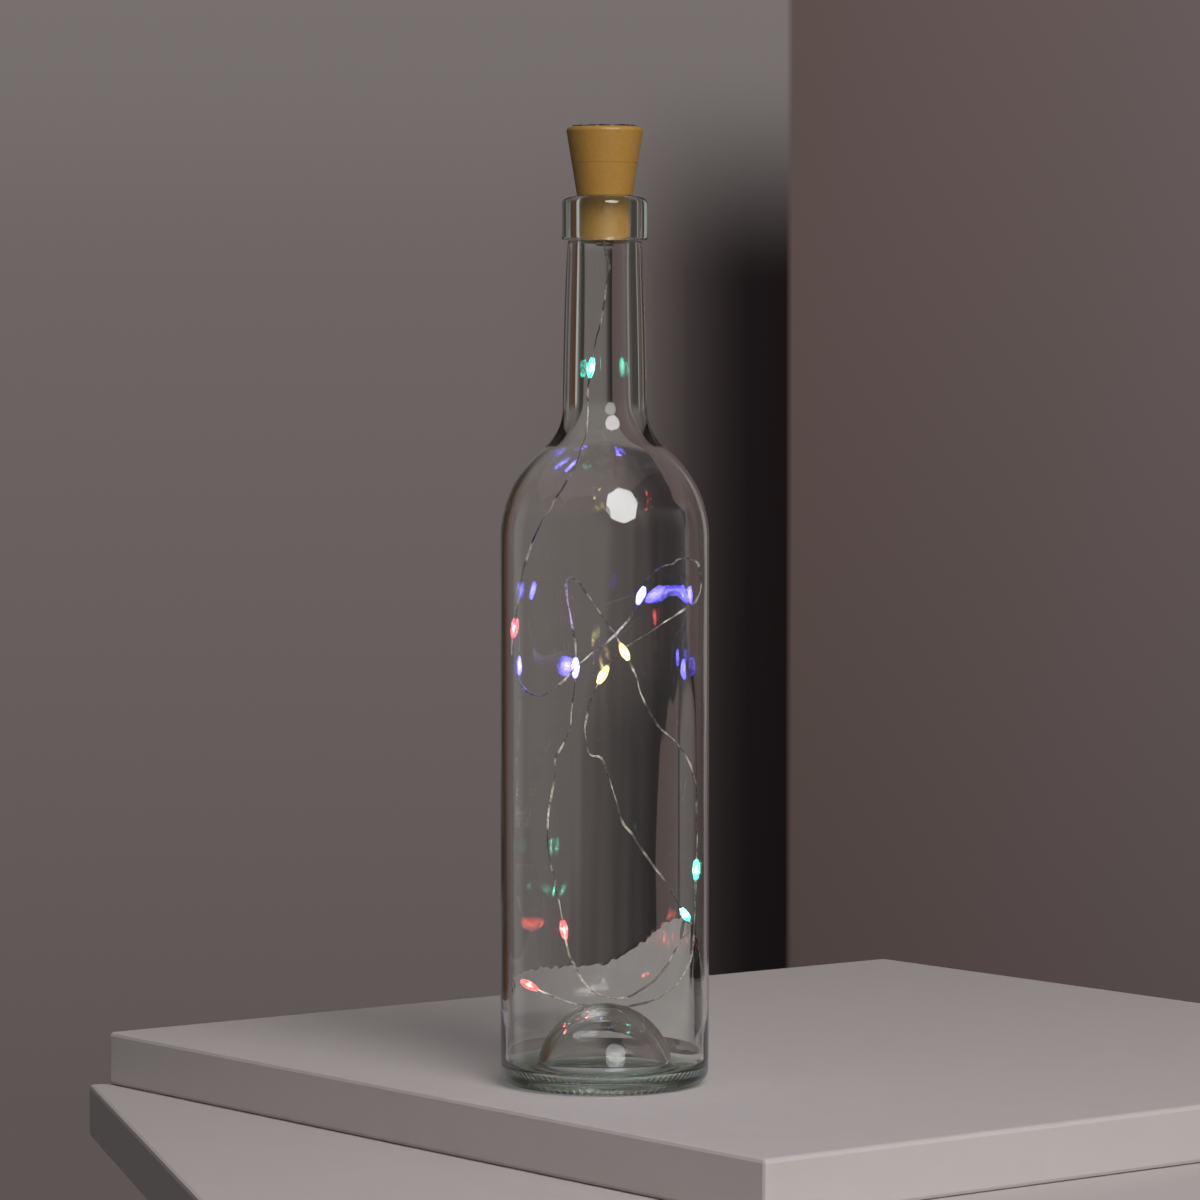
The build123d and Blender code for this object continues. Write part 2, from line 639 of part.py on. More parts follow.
# Corners of the wire's route in each stretch, between the straight leads into the drops
STRETCH_CORNERS = [
    [
        (2.2, 0.3, 294.2),
        (0.4, 1.3, 287.0),
        (-0.5, 2.5, 279.0),
        (-2.0, 3.8, 271.5),
    ],
    [
        (-6.2, 3.8, 238.4),
        (-8.1, 1.6, 228.7),
        (-12.8, 0.0, 217.5),
        (-21.6, 0.8, 205.3),
        (-29.0, 2.5, 188.0),
    ],
    [
        (-32.4, 9.0, 144.4),
        (-26.4, 19.0, 137.6),
        (-17.8, 23.5, 140.6),
        (-8.3, 24.5, 151.5),
        (1.6, 26.5, 157.6),
    ],
    [
        (22.6, 14.0, 186.5),
        (33.2, 3.0, 187.6),
        (33.0, -8.0, 176.2),
        (23.6, -17.0, 169.5),
        (12.5, -21.0, 163.3),
    ],
    [
        (-6.6, -21.0, 131.3),
        (-4.5, -20.0, 119.2),
        (2.6, -19.0, 108.4),
        (7.9, -18.0, 93.4),
        (17.9, -12.0, 78.6),
    ],
    [
        (27.2, 9.0, 50.2),
        (19.6, 6.0, 36.8),
        (6.2, 3.0, 28.6),
        (-6.4, 12.0, 32.1),
    ],
    [
        (-19.9, 24.0, 74.7),
        (-21.4, 23.5, 90.8),
        (-17.7, 25.5, 111.4),
        (-12.6, 28.5, 127.9),
    ],
    [
        (-12.3, 30.0, 165.8),
        (-14.1, 30.0, 175.3),
        (-14.5, 28.5, 180.9),
        (-11.7, 22.5, 181.9),
        (-6.8, 18.5, 176.4),
        (-2.8, 8.5, 171.5),
        (0.8, -5.0, 166.4),
    ],
    [
        (13.5, -27.0, 139.5),
        (17.9, -19.0, 130.8),
        (27.6, -10.0, 122.0),
        (33.2, 0.0, 109.0),
        (33.6, 3.0, 97.3),
    ],
    [
        (33.2, 3.0, 56.6),
        (31.4, 5.0, 42.0),
        (24.3, 10.0, 31.3),
        (12.0, 13.0, 26.2),
        (-1.7, 14.5, 25.3),
        (-12.0, 12.0, 27.3),
    ],
]
EXIT_RUN = 2.8


def inside(x, y, z):
    # Carries a chosen point along when the bottle's width or height changes
    spread = inner_radius / ROUTE_RADIUS
    if z < ROUTE_SHOULDER:
        return (x * spread, y * spread, z * shoulder_start / ROUTE_SHOULDER)
    return (x * spread, y * spread, z + shoulder_start - ROUTE_SHOULDER)


centres = [Vector(*inside(*light[1])) for light in LIGHTS]
headings = [Vector(*light[2]).normalized() for light in LIGHTS]
string_length = 0.0

for number, corners in enumerate(STRETCH_CORNERS):
    if number == 0:
        points = [Vector(0, 0, gland_exit), Vector(0, 0, gland_exit - EXIT_RUN)]
    else:
        last_centre = centres[number - 1]
        last_heading = headings[number - 1]
        points = [last_centre + last_heading * chip_half, last_centre + last_heading * LEAD_IN]
    points += [Vector(*inside(*corner)) for corner in corners]
    points += [centres[number] - headings[number] * LEAD_IN, centres[number] - headings[number] * chip_half]
    corner_points = [tuple(point) for point in points]
    with BuildPart() as wire:
        with BuildLine() as wire_line:
            tube_path(corner_points)
        with BuildSketch(Plane(origin=wire_line.line @ 0, z_dir=wire_line.line % 0)):
            Circle(wire_radius)
        sweep()
    wire_name = f"wire_{number + 1:02d}"
    wire.part.label = wire_name
    export_step(wire.part, f"parts/{wire_name}.step")
    length = sum(edge.length for edge in wire_line.edges())
    string_length += length + LIGHT_CHIP[0]
    share = wire.part.volume / (length * 3.14159265 * wire_radius**2)
    print(wire_name, "length", round(length, 1), "volume share", round(share, 4))
    print("  bend radii", [round(radius, 1) for radius in bend_radii(corner_points)])

print("string length", round(string_length, 1))

# Resin drops, bored for the wire; the last one closes the string
for number, (colour, _, _) in enumerate(LIGHTS):
    heading = headings[number]
    across = heading.cross(Vector(0, 1, 0)).normalized()
    drop_plane = Plane(origin=centres[number], x_dir=across, z_dir=across.cross(heading))
    half = BEAD_LENGTH / 2
    tip = BEAD_TIP_DIAMETER / 2
    with BuildPart() as bead:
        with BuildSketch(drop_plane):
            with BuildLine():
                ThreePointArc((tip, -half), (BEAD_DIAMETER / 2, 0), (tip, half))
                if number < len(LIGHTS) - 1:
                    Polyline((tip, half), (bore_radius, half), (bore_radius, -half), (tip, -half))
                else:
                    Polyline(
                        (tip, half),
                        (0, half),
                        (0, chip_half),
                        (bore_radius, chip_half),
                        (bore_radius, -half),
                        (tip, -half),
                    )
            make_face()
        revolve(axis=Axis(centres[number], heading))
    bead_name = f"bead_{number + 1:02d}_{colour}"
    bead.part.label = bead_name
    export_step(bead.part, f"parts/{bead_name}.step")

# Light chips, one in the middle of each drop, kept together by colour
for colour in ("green", "red", "blue", "yellow"):
    with BuildPart() as chips:
        for number, light in enumerate(LIGHTS):
            if light[0] == colour:
                chip_foot = centres[number] - headings[number] * chip_half
                with BuildSketch(Plane(origin=chip_foot, z_dir=headings[number])):
                    Rectangle(LIGHT_CHIP[1], LIGHT_CHIP[2])
                extrude(amount=LIGHT_CHIP[0])
    chips_name = f"chips_{colour}"
    chips.part.label = chips_name
    export_step(chips.part, f"parts/{chips_name}.step")
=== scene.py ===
import math

import bmesh
import bpy
from mathutils import Matrix, Vector, noise


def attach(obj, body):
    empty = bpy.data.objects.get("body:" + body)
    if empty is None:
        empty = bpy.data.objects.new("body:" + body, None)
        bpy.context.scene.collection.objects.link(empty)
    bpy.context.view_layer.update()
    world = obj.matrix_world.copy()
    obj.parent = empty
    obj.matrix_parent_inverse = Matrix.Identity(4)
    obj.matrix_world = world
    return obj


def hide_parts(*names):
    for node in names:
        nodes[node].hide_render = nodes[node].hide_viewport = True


# Cork bottle light: the CAD frame dressed with glass, cork-coloured plastic and a lit string
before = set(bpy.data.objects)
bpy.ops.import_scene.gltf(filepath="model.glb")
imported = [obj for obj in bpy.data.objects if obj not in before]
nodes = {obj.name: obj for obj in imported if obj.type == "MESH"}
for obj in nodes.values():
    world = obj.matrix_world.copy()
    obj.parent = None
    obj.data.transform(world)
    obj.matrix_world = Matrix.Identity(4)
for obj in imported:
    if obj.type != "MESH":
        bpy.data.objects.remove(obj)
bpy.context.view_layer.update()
scene = bpy.context.scene
scene.view_settings.view_transform = "Standard"
print("frame loaded,", len(nodes), "nodes")


# Camera
cameraSizes = {
    "place": (-0.0017, -1.7663, 0.2519),
    "tiltDown": 2.516,  # degrees
    "lens": 147.66,
    "sensor": 36.0,
    "sees": (0.01, 50),  # nearest and farthest
}


def makeCamera():
    camera = bpy.data.cameras.new("photoCamera")
    camera.lens = cameraSizes["lens"]
    camera.sensor_width = cameraSizes["sensor"]
    camera.clip_start, camera.clip_end = cameraSizes["sees"]
    cameraObject = bpy.data.objects.new("photoCamera", camera)
    cameraObject.location = cameraSizes["place"]
    cameraObject.rotation_euler = (math.radians(90 - cameraSizes["tiltDown"]), 0, 0)
    scene.collection.objects.link(cameraObject)
    scene.camera = cameraObject


makeCamera()
print("camera set")


# Shared material helpers
def newFinish(name):
    material = bpy.data.materials.new(name)
    material.use_nodes = True
    tree = material.node_tree
    coords = tree.nodes.new("ShaderNodeTexCoord")
    return material, tree, tree.nodes["Principled BSDF"], coords.outputs["Object"]


def grain(tree, coords, scale, detail=3.0):
    texture = tree.nodes.new("ShaderNodeTexNoise")
    texture.inputs["Scale"].default_value = scale
    texture.inputs["Detail"].default_value = detail
    tree.links.new(coords, texture.inputs["Vector"])
    return texture.outputs["Fac"]


def tones(tree, amount, stops):
    ramp = tree.nodes.new("ShaderNodeValToRGB")
    elements = ramp.color_ramp.elements
    while len(elements) < len(stops):
        elements.new(0.5)
    for element, (place, colour) in zip(elements, stops):
        element.position = place
        element.color = (*colour, 1)
    tree.links.new(amount, ramp.inputs["Fac"])
    return ramp.outputs["Color"]


def spread(tree, amount, low, high, fromLow=0.3, fromHigh=0.7, style="LINEAR"):
    stretch = tree.nodes.new("ShaderNodeMapRange")
    stretch.interpolation_type = style
    stretch.inputs["From Min"].default_value = fromLow
    stretch.inputs["From Max"].default_value = fromHigh
    stretch.inputs["To Min"].default_value = low
    stretch.inputs["To Max"].default_value = high
    tree.links.new(amount, stretch.inputs["Value"])
    return stretch.outputs["Result"]


def relief(tree, amount, shader, strength, height):
    bump = tree.nodes.new("ShaderNodeBump")
    bump.inputs["Strength"].default_value = strength
    bump.inputs["Distance"].default_value = height
    tree.links.new(amount, bump.inputs["Height"])
    tree.links.new(bump.outputs["Normal"], shader.inputs["Normal"])


def combine(tree, operation, first, second):
    step = tree.nodes.new("ShaderNodeMath")
    step.operation = operation
    tree.links.new(first, step.inputs[0])
    tree.links.new(second, step.inputs[1])
    return step.outputs["Value"]


def joinTone(tree, tone, socket):
    if isinstance(tone, tuple):
        socket.default_value = (*tone, 1)
    else:
        tree.links.new(tone, socket)


def letLampsThrough(tree, shader, tint):
    # Lamps reach what stands behind clear glass
    output = tree.nodes["Material Output"]
    rays = tree.nodes.new("ShaderNodeLightPath")
    clear = tree.nodes.new("ShaderNodeBsdfTransparent")
    joinTone(tree, tint, clear.inputs["Color"])
    mix = tree.nodes.new("ShaderNodeMixShader")
    tree.links.new(rays.outputs["Is Shadow Ray"], mix.inputs["Fac"])
    tree.links.new(shader.outputs["BSDF"], mix.inputs[1])
    tree.links.new(clear.outputs["BSDF"], mix.inputs[2])
    tree.links.new(mix.outputs["Shader"], output.inputs["Surface"])


def dress(name, material):
    for slot in nodes[name].material_slots:
        slot.material = material


def newPiece(name, bm):
    mesh = bpy.data.meshes.new(name)
    bm.to_mesh(mesh)
    bm.free()
    piece = bpy.data.objects.new(name, mesh)
    scene.collection.objects.link(piece)
    return piece


# Light string: one smooth line from the gland through ten lights
stringSizes = {
    "exit": (0.0, 0.0, 0.3014),
    "exitRun": 0.0028,
    "leadIn": 0.009,
    "chipHalf": 0.0008,
    "length": 0.923,
    "diameter": 0.0009,
    "strand": 0.00018,  # radius of one strand
    "apart": 0.00024,  # strand to middle line
    "twist": 0.06,  # run of one full turn
    "twistWander": 0.35,  # turns
    "twistWanderRun": 0.03,
    "kink": 0.0005,  # how far the small kinks stand off the line
    "kinkRun": 0.0065,
    "kinkSeed": 1795800781,  # noise_vector goes by the clock without one, and the kinks would change each run
    "heldRun": 0.004,  # this near a light the wire has no kinks
    "looseRun": 0.008,  # and they are full this much further on
    "steps": 8,  # of the line from point to point
    "rounding": 2,
}

# Colour, middle of the drop, and the way that the wire runs through it
lights = [
    ("green", (-0.0053, 0.0053, 0.2577), (-0.18, 0.00, -0.98)),
    ("red", (-0.0328, 0.0020, 0.1639), (-0.16, 0.11, -0.98)),
    ("blue", (0.0135, 0.0273, 0.1747), (0.33, -0.40, 0.86)),
    ("yellow", (-0.0006, -0.0210, 0.1487), (-0.47, -0.24, -0.85)),
    ("green", (0.0290, 0.0000, 0.0609), (0.38, 0.66, -0.64)),
    ("red", (-0.0149, 0.0240, 0.0529), (-0.17, 0.31, 0.94)),
    ("blue", (-0.0108, 0.0295, 0.1483), (0.04, 0.06, 1.00)),
    ("yellow", (0.0068, -0.0250, 0.1571), (0.38, -0.55, -0.74)),
    ("green", (0.0334, 0.0030, 0.0768), (-0.03, 0.06, -1.00)),
    ("red", (-0.0277, 0.0075, 0.0343), (-0.89, 0.00, 0.45)),
]

# Corners of the wire's route in each stretch, from the gland down
stretchCorners = [
    [
        (0.0022, 0.0003, 0.2942),
        (0.0004, 0.0013, 0.2870),
        (-0.0005, 0.0025, 0.2790),
        (-0.0020, 0.0038, 0.2715),
    ],
    [
        (-0.0062, 0.0038, 0.2384),
        (-0.0081, 0.0016, 0.2287),
        (-0.0128, 0.0000, 0.2175),
        (-0.0216, 0.0008, 0.2053),
        (-0.0290, 0.0025, 0.1880),
    ],
    [
        (-0.0324, 0.0090, 0.1444),
        (-0.0264, 0.0190, 0.1376),
        (-0.0178, 0.0235, 0.1406),
        (-0.0083, 0.0245, 0.1515),
        (0.0016, 0.0265, 0.1576),
    ],
    [
        (0.0216, 0.0170, 0.1860),
        (0.0254, 0.0132, 0.1866),
        (0.0270, 0.0114, 0.1890),
        (0.0305, 0.0075, 0.1889),
        (0.0342, 0.0020, 0.1883),
        (0.0344, -0.0050, 0.1800),
        (0.0333, -0.0085, 0.1760),
        (0.0296, -0.0130, 0.1722),
        (0.0212, -0.0185, 0.1675),
        (0.0126, -0.0225, 0.1616),
    ],
    [
        (-0.0069, -0.0210, 0.1315),
        (-0.0066, -0.0206, 0.1245),
        (-0.0054, -0.0200, 0.1194),
        (-0.0012, -0.0198, 0.1194),
        (0.0003, -0.0195, 0.1155),
        (0.0026, -0.0190, 0.1090),
        (0.0050, -0.0184, 0.0995),
        (0.0064, -0.0180, 0.0950),
        (0.0094, -0.0174, 0.0916),
        (0.0146, -0.0148, 0.0836),
        (0.0206, -0.0098, 0.0754),
    ],
    [
        (0.0272, 0.0090, 0.0502),
        (0.0196, 0.0060, 0.0368),
        (0.0062, 0.0030, 0.0286),
        (-0.0064, 0.0120, 0.0321),
    ],
    [
        (-0.0190, 0.0250, 0.0730),
        (-0.0209, 0.0235, 0.0805),
        (-0.0216, 0.0232, 0.0880),
        (-0.0212, 0.0236, 0.0960),
        (-0.0196, 0.0245, 0.1040),
        (-0.0181, 0.0253, 0.1100),
        (-0.0190, 0.0256, 0.1155),
        (-0.0158, 0.0266, 0.1193),
        (-0.0130, 0.0278, 0.1265),
    ],
    [
        (-0.0123, 0.0300, 0.1658),
        (-0.0141, 0.0300, 0.1753),
        (-0.0145, 0.0285, 0.1809),
        (-0.0117, 0.0225, 0.1819),
        (-0.0068, 0.0185, 0.1764),
        (-0.0028, 0.0085, 0.1715),
        (0.0008, -0.0050, 0.1664),
    ],
    [
        (0.0135, -0.0270, 0.1395),
        (0.0179, -0.0190, 0.1308),
        (0.0276, -0.0100, 0.1220),
        (0.0332, 0.0000, 0.1090),
        (0.0336, 0.0030, 0.0973),
    ],
    [
        (0.0332, 0.0030, 0.0566),
        (0.0314, 0.0050, 0.0420),
        (0.0243, 0.0100, 0.0313),
        (0.0120, 0.0130, 0.0262),
        (-0.0017, 0.0145, 0.0253),
        (-0.0120, 0.0120, 0.0273),
    ],
]


def routePoints():
    leadIn = stringSizes["leadIn"]
    chipHalf = stringSizes["chipHalf"]
    points = [Vector(stringSizes["exit"])]
    points.append(points[0] - Vector((0, 0, stringSizes["exitRun"])))
    for number, corners in enumerate(stretchCorners):
        if number > 0:
            centre = Vector(lights[number - 1][1])
            heading = Vector(lights[number - 1][2]).normalized()
            points += [centre + heading * chipHalf, centre + heading * leadIn]
        points += [Vector(corner) for corner in corners]
        centre = Vector(lights[number][1])
        heading = Vector(lights[number][2]).normalized()
        points += [centre - heading * leadIn, centre - heading * chipHalf]
    return points


def smoothLine(points):
    curve = bpy.data.curves.new("stringRoute", "CURVE")
    curve.dimensions = "3D"
    curve.resolution_u = stringSizes["steps"]
    spline = curve.splines.new("NURBS")
    spline.points.add(len(points) - 1)
    for point, place in zip(spline.points, points):
        point.co = (*place, 1)
    spline.order_u = 3
    spline.use_endpoint_u = True
    spline.resolution_u = stringSizes["steps"]
    route = bpy.data.objects.new("stringRoute", curve)
    scene.collection.objects.link(route)
    line = bpy.data.meshes.new_from_object(route)
    places = [vertex.co.copy() for vertex in line.vertices]
    bpy.data.objects.remove(route)
    return places


def strandPlaces(line):
    # Two strands on opposite sides of the line, turning slowly round it, with small kinks between the lights
    size = stringSizes
    noise.seed_set(size["kinkSeed"])
    centres = [Vector(light[1]) for light in lights] + [line[0]]
    sides = ([], [])
    across = Vector((1, 0, 0))
    run = 0.0
    for number, place in enumerate(line):
        ahead = line[min(number + 1, len(line) - 1)] - line[max(number - 1, 0)]
        ahead.normalize()
        across = (across - ahead * across.dot(ahead)).normalized()
        if number > 0:
            run += (place - line[number - 1]).length
        near = min((place - centre).length for centre in centres)
        loose = min(1, max(0, (near - size["heldRun"]) / size["looseRun"]))
        kinks = noise.noise_vector(Vector((run / size["kinkRun"], 0.5, 0.5)))
        sway = kinks * size["kink"] * loose
        wander = noise.noise(Vector((run / size["twistWanderRun"], 3.5, 0.5)))
        turns = run / size["twist"] + size["twistWander"] * wander
        turn = Matrix.Rotation(2 * math.pi * turns, 3, ahead)
        offset = (turn @ across) * size["apart"]
        sides[0].append(place + sway + offset)
        sides[1].append(place + sway - offset)
    return sides, run


def makeString():
    line = smoothLine(routePoints())
    sides, run = strandPlaces(line)
    curve = bpy.data.curves.new("strands", "CURVE")
    curve.dimensions = "3D"
    curve.bevel_depth = stringSizes["strand"]
    curve.bevel_resolution = stringSizes["rounding"]
    curve.use_fill_caps = True
    for side in sides:
        spline = curve.splines.new("POLY")
        spline.points.add(len(side) - 1)
        for point, place in zip(spline.points, side):
            point.co = (*place, 1)
        spline.use_smooth = True
    strands = bpy.data.objects.new("strands", curve)
    scene.collection.objects.link(strands)
    mesh = bpy.data.meshes.new_from_object(strands)
    bpy.data.objects.remove(strands)
    mesh.name = "lightString"
    lightString = bpy.data.objects.new("lightString", mesh)
    scene.collection.objects.link(lightString)
    print("string", round(run, 4), "m,", len(line), "points")
    return lightString, line


lightString, stringLine = makeString()
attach(lightString, "stopper")
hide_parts(*[f"wire_{number:02d}" for number in range(1, 11)])
stringPieces = [f"bead_{number:02d}_{light[0]}" for number, light in enumerate(lights, 1)]
stringPieces += [f"chips_{colour}" for colour in ("green", "red", "blue", "yellow")]

wireTones = {
    "paintedShade": (0.17, 0.145, 0.13),
    "paintedHighlight": (1.0, 0.92, 0.78),
    "scale": 120,  # of the painted shade and painted highlight stretches along the wire
    "middle": 0.52,
    "soft": 0.06,
    "metal": 0.5,
    "gloss": (0.16, 0.42),
    "glintScale": 900,
    "glint": 0.0002,
    "relief": 0.9,
}


def makeWireFinish():
    material, tree, shader, coords = newFinish("wireSilver")
    # Base colour swings along the wire between painted shade and painted highlight
    amount = grain(tree, coords, wireTones["scale"])
    middle, soft = wireTones["middle"], wireTones["soft"]
    stops = [(middle - soft, wireTones["paintedShade"]), (middle + soft, wireTones["paintedHighlight"])]
    tree.links.new(tones(tree, amount, stops), shader.inputs["Base Color"])
    glints = grain(tree, coords, wireTones["glintScale"])
    tree.links.new(spread(tree, glints, *wireTones["gloss"]), shader.inputs["Roughness"])
    relief(tree, glints, shader, wireTones["relief"], wireTones["glint"])
    shader.inputs["Metallic"].default_value = wireTones["metal"]
    lightString.data.materials.clear()
    lightString.data.materials.append(material)


makeWireFinish()
print("string made")


# Bottle glass, turned from one outline
bottleSizes = {
    "height": 0.3188,
    "bodyRadius": 0.0375,
    "wall": 0.002,
    "heel": 0.0055,
    "shoulderStart": 0.196,
    "shoulderRadius": 0.043,
    "shoulderWall": 0.002,
    "neckBlend": 0.018,
    "innerBlend": 0.024,
    "neckBase": 0.0151,
    "neckTop": 0.0133,
    "neckBore": 0.010,
    "mouthBore": 0.00925,
    "mouthBoreLength": 0.025,
    "lipRadius": 0.01545,
    "lipHeight": 0.0155,
    "lipRound": 0.003,
    "lipFootRound": 0.0008,
    "lipUnderRound": 0.0004,
    "mouthRound": 0.0015,
    "puntRadius": 0.0225,
    "puntLip": 0.0025,
    "puntGlass": 0.0037,
    "domeSideGlass": 0.002,
    "floorGlass": 0.004,
    "edgeRun": 0.001,  # short rows beside the bends, so that the long walls shade straight
    "mouthEdgeRun": 0.0005,
    "fineTop": 0.070,  # the inner wall has finer rows below this height
    "innerRows": (30, 60),
    "segments": 336,
    "merge": 0.000005,
    "knurls": 84,
    "knurlDepth": 0.0006,
    "knurlStart": 0.003,  # run over which they deepen from the punt outwards
    "knurlTop": 0.0025,
    "knurlFade": (0.0008, 0.0016),  # height where they start to fade, and over how much
    "knurlLift": 0.5,
    "touch": 0.00001,  # as near as this counts as on the floor
}


def lineTo(bm, vertex, x, z, steps=1):
    start = vertex.co.copy()
    for step in range(1, steps + 1):
        made = bmesh.ops.extrude_vert_indiv(bm, verts=[vertex])
        vertex = made["verts"][0]
        vertex.co = start.lerp(Vector((x, 0, z)), step / steps)
    return vertex


def arcTo(bm, vertex, centreX, centreZ, x, z, steps):
    fromAngle = math.atan2(vertex.co.z - centreZ, vertex.co.x - centreX)
    toAngle = math.atan2(z - centreZ, x - centreX)
    swing = (fromAngle - toAngle + math.pi) % (2 * math.pi) - math.pi
    made = bmesh.ops.spin(
        bm,
        geom=[vertex],
        cent=(centreX, 0, centreZ),
        axis=(0, 1, 0),
        dvec=(0, 0, 0),
        angle=swing,
        steps=steps,
    )
    last = [item for item in made["geom_last"] if isinstance(item, bmesh.types.BMVert)][0]
    last.co = (x, 0, z)
    return last


def shoulderCurve(wall, bend, neck, blend):
    bendX = wall - bend
    across = neck + blend - bendX
    rise = math.sqrt((bend + blend) ** 2 - across**2)
    share = bend / (bend + blend)
    start = bottleSizes["shoulderStart"]
    return bendX, neck + blend, start + rise, bendX + share * across, start + share * rise


def bottleOutline(bm):
    size = bottleSizes
    top = size["height"]
    body = size["bodyRadius"]
    inner = body - size["wall"]
    start = size["shoulderStart"]
    edgeRun = size["edgeRun"]
    puntTop = size["puntRadius"] + size["puntLip"]
    puntEdge = size["puntRadius"] + size["puntLip"]
    heelEdge = body - size["heel"]
    lip = size["lipRadius"]
    lipFoot = top - size["lipHeight"]
    lipEdge = lip - size["lipFootRound"]
    lipFootBend = lipFoot + size["lipFootRound"]
    lipTop = lip - size["lipRound"]
    lipBend = top - size["lipRound"]
    mouth = size["mouthBore"]
    mouthEdge = mouth + size["mouthRound"]
    mouthBend = top - size["mouthRound"]
    mouthFoot = top - size["mouthBoreLength"]
    domeRadius = size["puntRadius"] + size["domeSideGlass"]
    domeTop = puntTop + size["puntGlass"]
    domeCentre = domeTop - domeRadius

    # Punt, foot and body
    vertex = bm.verts.new((0, 0, puntTop))
    vertex = arcTo(bm, vertex, 0, size["puntLip"], size["puntRadius"], size["puntLip"], 18)
    vertex = arcTo(bm, vertex, puntEdge, size["puntLip"], puntEdge, 0, 5)
    vertex = lineTo(bm, vertex, heelEdge, 0, 8)
    vertex = arcTo(bm, vertex, heelEdge, size["heel"], body, size["heel"], 9)
    vertex = lineTo(bm, vertex, body, size["heel"] + edgeRun)
    vertex = lineTo(bm, vertex, body, start - edgeRun, 3)
    vertex = lineTo(bm, vertex, body, start)

    # Shoulder, neck, lip and mouth
    neck = size["neckBase"]
    bendX, blendX, blendZ, meetX, meetZ = shoulderCurve(body, size["shoulderRadius"], neck, size["neckBlend"])
    vertex = arcTo(bm, vertex, bendX, start, meetX, meetZ, 20)
    vertex = arcTo(bm, vertex, blendX, blendZ, neck, blendZ, 12)
    draw = neck - size["neckTop"]
    neckRun = lipFoot - blendZ
    neckArc = (neckRun**2 + draw**2) / (2 * draw)
    under = size["lipUnderRound"]
    neckZ = lipFoot - under
    neckX = neck - neckArc + math.sqrt(neckArc**2 - (neckZ - blendZ) ** 2)
    vertex = arcTo(bm, vertex, neck - neckArc, blendZ, neckX, neckZ, 12)
    vertex = arcTo(bm, vertex, neckX + under, neckZ, neckX + under, lipFoot, 3)
    vertex = lineTo(bm, vertex, lipEdge, lipFoot)
    vertex = arcTo(bm, vertex, lipEdge, lipFootBend, lip, lipFootBend, 4)
    vertex = lineTo(bm, vertex, lip, lipBend, 3)
    vertex = arcTo(bm, vertex, lipTop, lipBend, lipTop, top, 8)
    vertex = lineTo(bm, vertex, mouthEdge, top)
    vertex = arcTo(bm, vertex, mouthEdge, mouthBend, mouth, mouthBend, 6)
    vertex = lineTo(bm, vertex, mouth, mouthBend - size["mouthEdgeRun"])
    vertex = lineTo(bm, vertex, mouth, mouthFoot, 2)

    # Inside, down the neck and the shoulder
    bore = size["neckBore"]
    innerBend = size["shoulderRadius"] - size["shoulderWall"]
    bendX, blendX, blendZ, meetX, meetZ = shoulderCurve(inner, innerBend, bore, size["innerBlend"])
    vertex = lineTo(bm, vertex, bore, blendZ, 4)
    vertex = arcTo(bm, vertex, blendX, blendZ, meetX, meetZ, 12)
    vertex = arcTo(bm, vertex, bendX, start, inner, start, 20)

    # Inner wall, floor and the dome over the punt
    floor = size["floorGlass"]
    floorDrop = floor - domeCentre
    halfSum = inner + domeRadius - floorDrop
    trough = halfSum - math.sqrt(halfSum**2 - inner**2 - floorDrop**2 + domeRadius**2)
    troughX = inner - trough
    troughZ = floor + trough
    share = domeRadius / (domeRadius + trough)
    domeFootZ = domeCentre + (troughZ - domeCentre) * share
    rowsAbove, rowsBelow = size["innerRows"]
    vertex = lineTo(bm, vertex, inner, start - edgeRun)
    vertex = lineTo(bm, vertex, inner, size["fineTop"], rowsAbove)
    vertex = lineTo(bm, vertex, inner, troughZ, rowsBelow)
    vertex = arcTo(bm, vertex, troughX, troughZ, troughX, floor, 6)
    vertex = arcTo(bm, vertex, troughX, troughZ, troughX * share, domeFootZ, 8)
    arcTo(bm, vertex, 0, domeCentre, 0, domeTop, 16)


def smoothStep(place):
    place = min(1, max(0, place))
    return place * place * (3 - 2 * place)


def fadeIn(place, span):
    start, run = span
    return smoothStep((place - start) / run)


def knurlFoot(bm):
    # Short ridges round the ring that the bottle stands on, running up the heel
    size = bottleSizes
    low = size["puntRadius"] + size["puntLip"]
    high = size["bodyRadius"] - size["heel"]
    for vertex in bm.verts:
        x, y, z = vertex.co
        radius = math.hypot(x, y)
        dip = size["knurlDepth"] * (0.5 - 0.5 * math.cos(math.atan2(y, x) * size["knurls"]))
        if z < size["touch"] and low < radius <= high + size["touch"]:
            vertex.co.z += dip * fadeIn(radius, (low, size["knurlStart"]))
        elif z < size["knurlTop"] and radius > high:
            fade = 1 - fadeIn(z, size["knurlFade"])
            vertex.co.x *= 1 - dip * fade / radius
            vertex.co.y *= 1 - dip * fade / radius
            vertex.co.z += dip * fade * size["knurlLift"]


